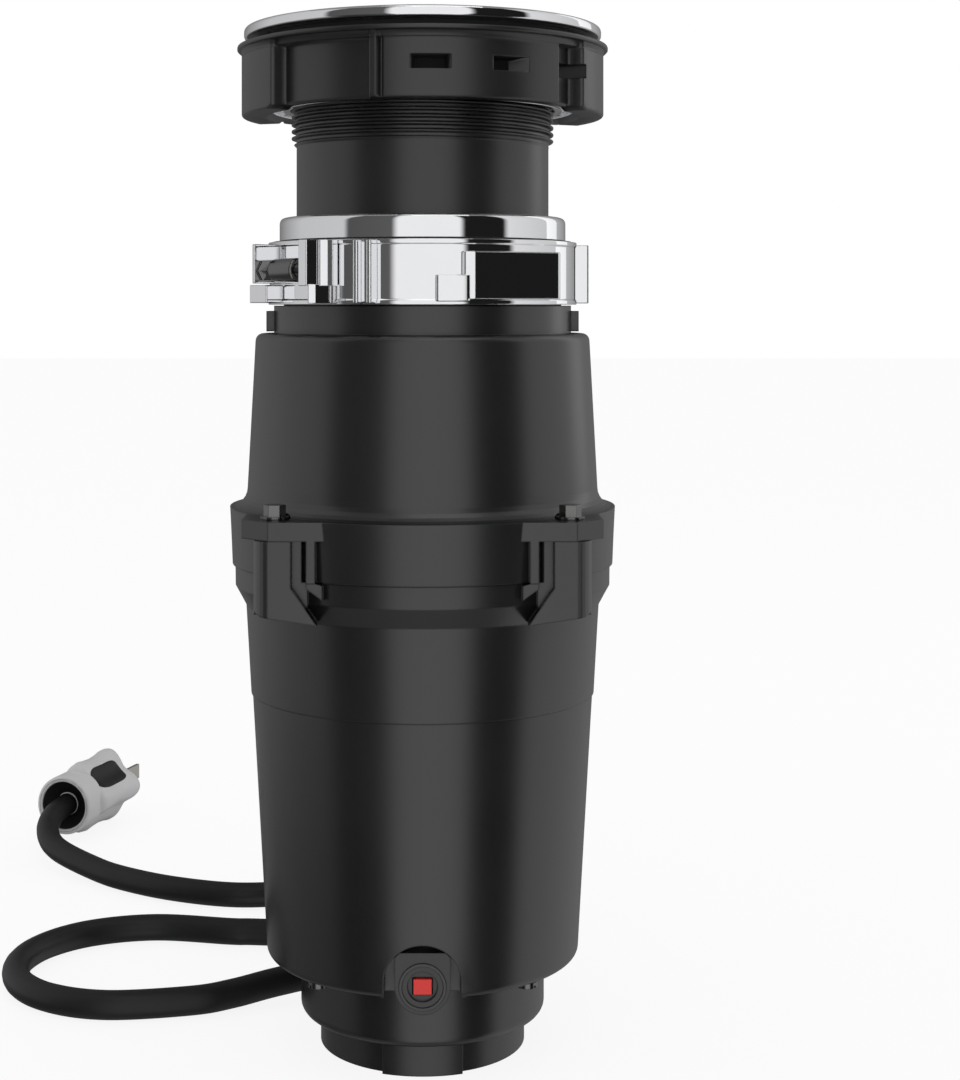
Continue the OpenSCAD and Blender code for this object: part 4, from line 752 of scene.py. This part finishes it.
def make_baffle():
    """Rubber splash guard: a rim ring, and flaps that fall towards the middle. On a flap the height
    falls with the way in to the power 1.6, and a slit of even width parts it from the next."""
    foot, top = low("splash_baffle")[2], high("splash_baffle")[2]
    corners = np.array([(27.5, -4.9), (36.5, -4.9), (36.5, -4.0), (41.3, -4.0),
                        (41.3, 0), (35, 0), (34, -2.6), (27.5, -3.4)]) * MM + (0, top)
    parts = [revolve("baffle_ring", eased(corners, 0.3 * MM), 144)]
    rows, cols = 16, 12
    reach = np.linspace(0, 1, rows)[:, None]
    r = (28.5 - 16.5 * reach) * MM
    root, tip, thick, half_gap = top - 3.3 * MM, foot + 2 * MM, 1.7 * MM, 0.6 * MM
    height = root - (root - tip) * reach ** FLAP_FALL
    half = math.pi / FLAPS - np.arcsin(half_gap / r)
    for k in range(FLAPS):
        a = (k + 0.5) * TAU / FLAPS + np.linspace(-1, 1, cols)[None] * half
        upper = np.stack([r * np.sin(a), -r * np.cos(a), height + 0 * a], -1)
        lower = upper - np.array([0, 0, thick])
        flap = np.concatenate([upper, lower[:, ::-1]], 1)
        parts.append(add_mesh("baffle_flap", flap, capped_faces(rows, 2 * cols)))
    return join("splash_baffle_flaps", parts)


dress(make_baffle(), "black_rubber", replaced=["splash_baffle"])


# ---------------------------------------------------------------- strain relief and plug
GLAND_HEADING = 200
GLAND_LINE = 47 * MM
GLAND_END = 8.35 * MM
GLAND_LENGTH = 24 * MM
CORD_EXIT_Z = 7.6 * MM


def make_gland():
    """Ribbed strain relief: a collar, then five rings that grow slimmer towards the cord."""
    rows = 160
    x = np.linspace(0, 1, rows)
    body = 6.0 - 1.2 * x
    ribs = 0.42 * smooth(np.cos(x * TAU * 5.5), -0.25, 0.25) * (x > 0.13) * (x < 0.97)
    collar = 0.5 * (1 - smooth(x, 0.1, 0.13))
    radius = (body + ribs + collar) * MM
    ends = smooth(x, 0, 0.012) * 0.3 + 0.7
    line = np.stack([GLAND_END - GLAND_LENGTH * (1 - x), np.full(rows, -GLAND_LINE),
                     np.full(rows, CORD_EXIT_Z)], -1)
    return sweep("strain_relief", turned(GLAND_HEADING)(line), radius * ends, 40)


def plug_place(points):
    """Local x-y-z of the plug, with x running on from the cord's end, into the frame."""
    on = CORD_POINTS[-1] - CORD_POINTS[-2]
    return turned(math.degrees(math.atan2(on[1], on[0])))(points) + CORD_POINTS[-1]


PLUG_HALF = 16 * MM
PLUG_LOBE = 0.14
PLUG_SIDES = 96
GRIP_ANGLES = (135, -45)
# Place along the plug in mm, and its share of the full width there.
PLUG_SHAPE = np.array([
    (5.6, 0.62), (5.8, 0.7), (6.4, 0.8), (7.4, 0.88), (9, 0.94), (13, 0.97), (18, 0.94), (24, 0.92),
    (30, 0.95), (35, 1), (37.6, 1), (39.1, 0.985), (39.8, 0.95), (40, 0.9)])


def plug_surface(x, a, over=0.0):
    """Points of the plug's side at rows x and angles a: r = half width x (0.86 + 0.14 cos 4a), scaled
    along its length and lifted by over."""
    size = np.interp(x, PLUG_SHAPE[:, 0] * MM, PLUG_SHAPE[:, 1])
    r = PLUG_HALF * size * (1 - PLUG_LOBE + PLUG_LOBE * np.cos(4 * a)) + over
    return np.stack([x + 0 * a, r * np.cos(a), r * np.sin(a)], -1)


def plug_ring(name, outline, closed):
    """A piece round the plug's axis, from an outline of radius and place along it."""
    a = np.arange(PLUG_SIDES)[:, None] * TAU / PLUG_SIDES
    r, x = outline[None, :, 0], outline[None, :, 1]
    points = np.stack([x + 0 * a, r * np.cos(a), r * np.sin(a)], -1)
    return add_mesh(name, plug_place(points), grid_faces(PLUG_SIDES, len(outline), True, closed).tolist())


def make_plug():
    """Moulded plug with four lobes, eased in at both ends and drawn in at its waist, behind a round
    collar that the cord enters through a deep mouth."""
    rings = plug_surface(PLUG_SHAPE[:, :1] * MM, np.arange(PLUG_SIDES)[None] * TAU / PLUG_SIDES)
    body = add_mesh("plug_shell", plug_place(rings), capped_faces(len(PLUG_SHAPE), PLUG_SIDES))
    collar_r, mouth_r = 12.7, 10.3
    corners = [(0, 0.3), (mouth_r, 0.3), (mouth_r, -4), (collar_r, -4), (collar_r, 9), (0, 9)]
    outline = eased(np.array(corners) * MM, np.array([0.01, 0.6, 0.9, 1.1, 0.6, 0.01]) * MM)
    return join("plug_shell_moulded", [body, plug_ring("plug_collar", outline, False)])


def make_plug_painted_shade():
    """Painted shade: a dark cup over the floor and wall of the plug's deep mouth, and dark panels let into
    two of its hollow grips, stand in for the shade there. A panel's half angle goes with the fourth root of 1
    - u^4, so its outline is a rounded oblong."""
    cup = np.array([(5.0, 0.1), (9.9, 0.1), (10.0, -3.4), (10.28, -3.4), (10.28, 0.28), (5.0, 0.28)]) * MM
    # Painted shade: a dark cup lining the plug's mouth.
    parts = [plug_ring("mouth_painted_shade", cup, True)]
    rows, cols = 41, 21
    u = np.linspace(-1, 1, rows)[:, None]
    v = np.linspace(-1, 1, cols)[None]
    x = (22 + 12.5 * u) * MM
    half = math.radians(25) * (1 - u ** 4 * 0.999) ** 0.25 + 0.002
    # Painted shade: dark panels in the two hollow grips.
    for middle in GRIP_ANGLES:
        a = math.radians(middle) + half * v
        outside = plug_surface(x, a, 0.18 * MM * (1 - v ** 8))
        inside = plug_surface(x, a, -0.4 * MM)
        panel = np.concatenate([outside, inside[:, ::-1]], 1)
        parts.append(add_mesh("grip_painted_shade", plug_place(panel), capped_faces(rows, 2 * cols)))
    return join("plug_painted_shade", parts)


dress(make_gland(), "cord_jacket", replaced=["cord_gland"])
dress(make_plug(), "silver_plastic", replaced=["plug_body"])
# Painted shade in the plug's mouth and grips.
dress(make_plug_painted_shade(), "cord_jacket")


# ---------------------------------------------------------------- stage and light
LAMP_AIM = CAMERA_HEIGHT * 0.7
WORLD_LIGHT = 0.8
SHINE_LIGHT = 0.28
FLOOR_WHITE = 0.88
SHINE_BY_ANGLE = [(-180, 0.1), (180, 0.1), (-150, 0.28), (-112, 0.6), (-64, 0.64), (-60, 0.09), (-24, 0.11),
                  (-19, 0.97), (29, 0.97), (33, 0.012), (66, 0.012), (71, 0.8), (116, 0.64), (140, 0.2)]


def bare_material(name):
    """A stage material with nothing in its tree but the output. Returns it, its tree and that node."""
    material = bpy.data.materials.new(name)
    material.use_nodes = True
    tree = material.node_tree
    tree.nodes.clear()
    return material, tree, tree.nodes.new("ShaderNodeOutputMaterial")


def make_floor():
    """A pale floor. Most of what the camera sees of it is its own white and the rest keeps shadows.
    Shine passes through it to the studio wall."""
    half = 8.0
    floor = add_mesh("floor", [(-half, -half, 0), (half, -half, 0), (half, half, 0), (-half, half, 0)],
                     [[0, 1, 2, 3]], smooth=False)
    material, tree, out = bare_material("pale_floor")
    diffuse = tree.nodes.new("ShaderNodeBsdfDiffuse")
    diffuse.inputs["Color"].default_value = (0.9, 0.9, 0.9, 1)
    white = tree.nodes.new("ShaderNodeEmission")
    mix = tree.nodes.new("ShaderNodeMixShader")
    path = tree.nodes.new("ShaderNodeLightPath")
    clear = tree.nodes.new("ShaderNodeBsdfTransparent")
    shine = tree.nodes.new("ShaderNodeMixShader")
    seen = math_node(tree, "MULTIPLY", path.outputs["Is Camera Ray"], FLOOR_WHITE)
    tree.links.new(seen, mix.inputs[0])
    tree.links.new(diffuse.outputs[0], mix.inputs[1])
    tree.links.new(white.outputs[0], mix.inputs[2])
    tree.links.new(path.outputs["Is Glossy Ray"], shine.inputs[0])
    tree.links.new(mix.outputs[0], shine.inputs[1])
    tree.links.new(clear.outputs[0], shine.inputs[2])
    tree.links.new(shine.outputs[0], out.inputs["Surface"])
    floor.data.materials.append(material)


def make_world():
    """White where the camera or glass sees it, softer as a light, and dim where shine meets it past
    the studio wall."""
    world = bpy.data.worlds.new("studio")
    bpy.context.scene.world = world
    world.use_nodes = True
    tree = world.node_tree
    ground = next(n for n in tree.nodes if n.type == "BACKGROUND")
    path = tree.nodes.new("ShaderNodeLightPath")
    seen = math_node(tree, "MAXIMUM", path.outputs["Is Camera Ray"], path.outputs["Is Transmission Ray"])
    strength = math_node(tree, "ADD", WORLD_LIGHT, math_node(tree, "MULTIPLY", seen, 1 - WORLD_LIGHT))
    shine = math_node(tree, "MULTIPLY", path.outputs["Is Glossy Ray"], SHINE_LIGHT - WORLD_LIGHT)
    strength = math_node(tree, "ADD", strength, shine)
    ground.inputs["Color"].default_value = (1, 1, 1, 1)
    tree.links.new(strength, ground.inputs["Strength"])


def make_shine_wall():
    """A round studio wall that only shine sees. Its light goes by the angle round the axis: a white
    front, a black flag to the right of it, a dark grey one to the left, and pale sides. Its left side
    dims downwards by 0.75 x left x lowness, each of the two clamped to 0...1."""
    steps, radius, foot, top = 96, 2.2, -3.0, 3.0
    coolness, left_from, low_from, low_rate, most_dim = 1.01, 0.3, 0.25, 1.7, 0.75
    a = np.arange(steps) * TAU / steps
    ring = np.stack([radius * np.sin(a), -radius * np.cos(a)], -1)
    points = np.stack([np.column_stack([ring, np.full(steps, z)]) for z in (foot, top)])
    wall = add_mesh("shine_wall", points, grid_faces(2, steps, False, True).tolist())
    material, tree, out = bare_material("shine_wall")
    coords = tree.nodes.new("ShaderNodeTexCoord")
    split = tree.nodes.new("ShaderNodeSeparateXYZ")
    tree.links.new(coords.outputs["Object"], split.inputs[0])
    ahead = math_node(tree, "MULTIPLY", split.outputs["Y"], -1)
    angle = math_node(tree, "ARCTAN2", split.outputs["X"], ahead)
    place = math_node(tree, "ADD", math_node(tree, "DIVIDE", angle, TAU), 0.5)
    ramp = tree.nodes.new("ShaderNodeValToRGB")
    stops = ramp.color_ramp.elements
    for i, (degrees, value) in enumerate(SHINE_BY_ANGLE):
        stop = stops[i] if i < 2 else stops.new(1.0)
        stop.position = degrees / 360 + 0.5
        stop.color = (value, value, value * coolness, 1)
    shader = tree.nodes.new("ShaderNodeEmission")
    sideways = math_node(tree, "ADD", split.outputs["X"], left_from * radius)
    left = math_node(tree, "MULTIPLY", sideways, -2 / radius, clamp=True)
    under = math_node(tree, "ADD", split.outputs["Z"], low_from)
    lowness = math_node(tree, "MULTIPLY", under, -low_rate, clamp=True)
    dimmed = math_node(tree, "MULTIPLY", math_node(tree, "MULTIPLY", left, lowness), -most_dim)
    tree.links.new(place, ramp.inputs["Fac"])
    tree.links.new(ramp.outputs["Color"], shader.inputs["Color"])
    tree.links.new(math_node(tree, "ADD", dimmed, 1), shader.inputs["Strength"])
    tree.links.new(shader.outputs[0], out.inputs["Surface"])
    wall.data.materials.append(material)
    wall.visible_camera = wall.visible_diffuse = wall.visible_shadow = wall.visible_transmission = False


def make_lamp(name, angle, distance, height, size, power):
    """A soft rectangular lamp that stands round the object at an angle and faces the middle of it."""
    data = bpy.data.lights.new(name, "AREA")
    data.shape = "RECTANGLE"
    data.size, data.size_y = size
    data.energy = power
    lamp = bpy.data.objects.new(name, data)
    a = math.radians(angle)
    lamp.location = (distance * math.sin(a), -distance * math.cos(a), height)
    aim = Vector((0, 0, LAMP_AIM)) - lamp.location
    lamp.rotation_euler = aim.to_track_quat("-Z", "Y").to_euler()
    bpy.context.collection.objects.link(lamp)


make_world()
make_floor()
make_lamp("right_box", 125, 1.4, 0.7, (0.5, 1.3), 1)
make_lamp("top_box", 20, 0.5, 1.7, (1.0, 1.0), 3)
make_shine_wall()

bpy.context.scene.view_settings.view_transform = "Standard"
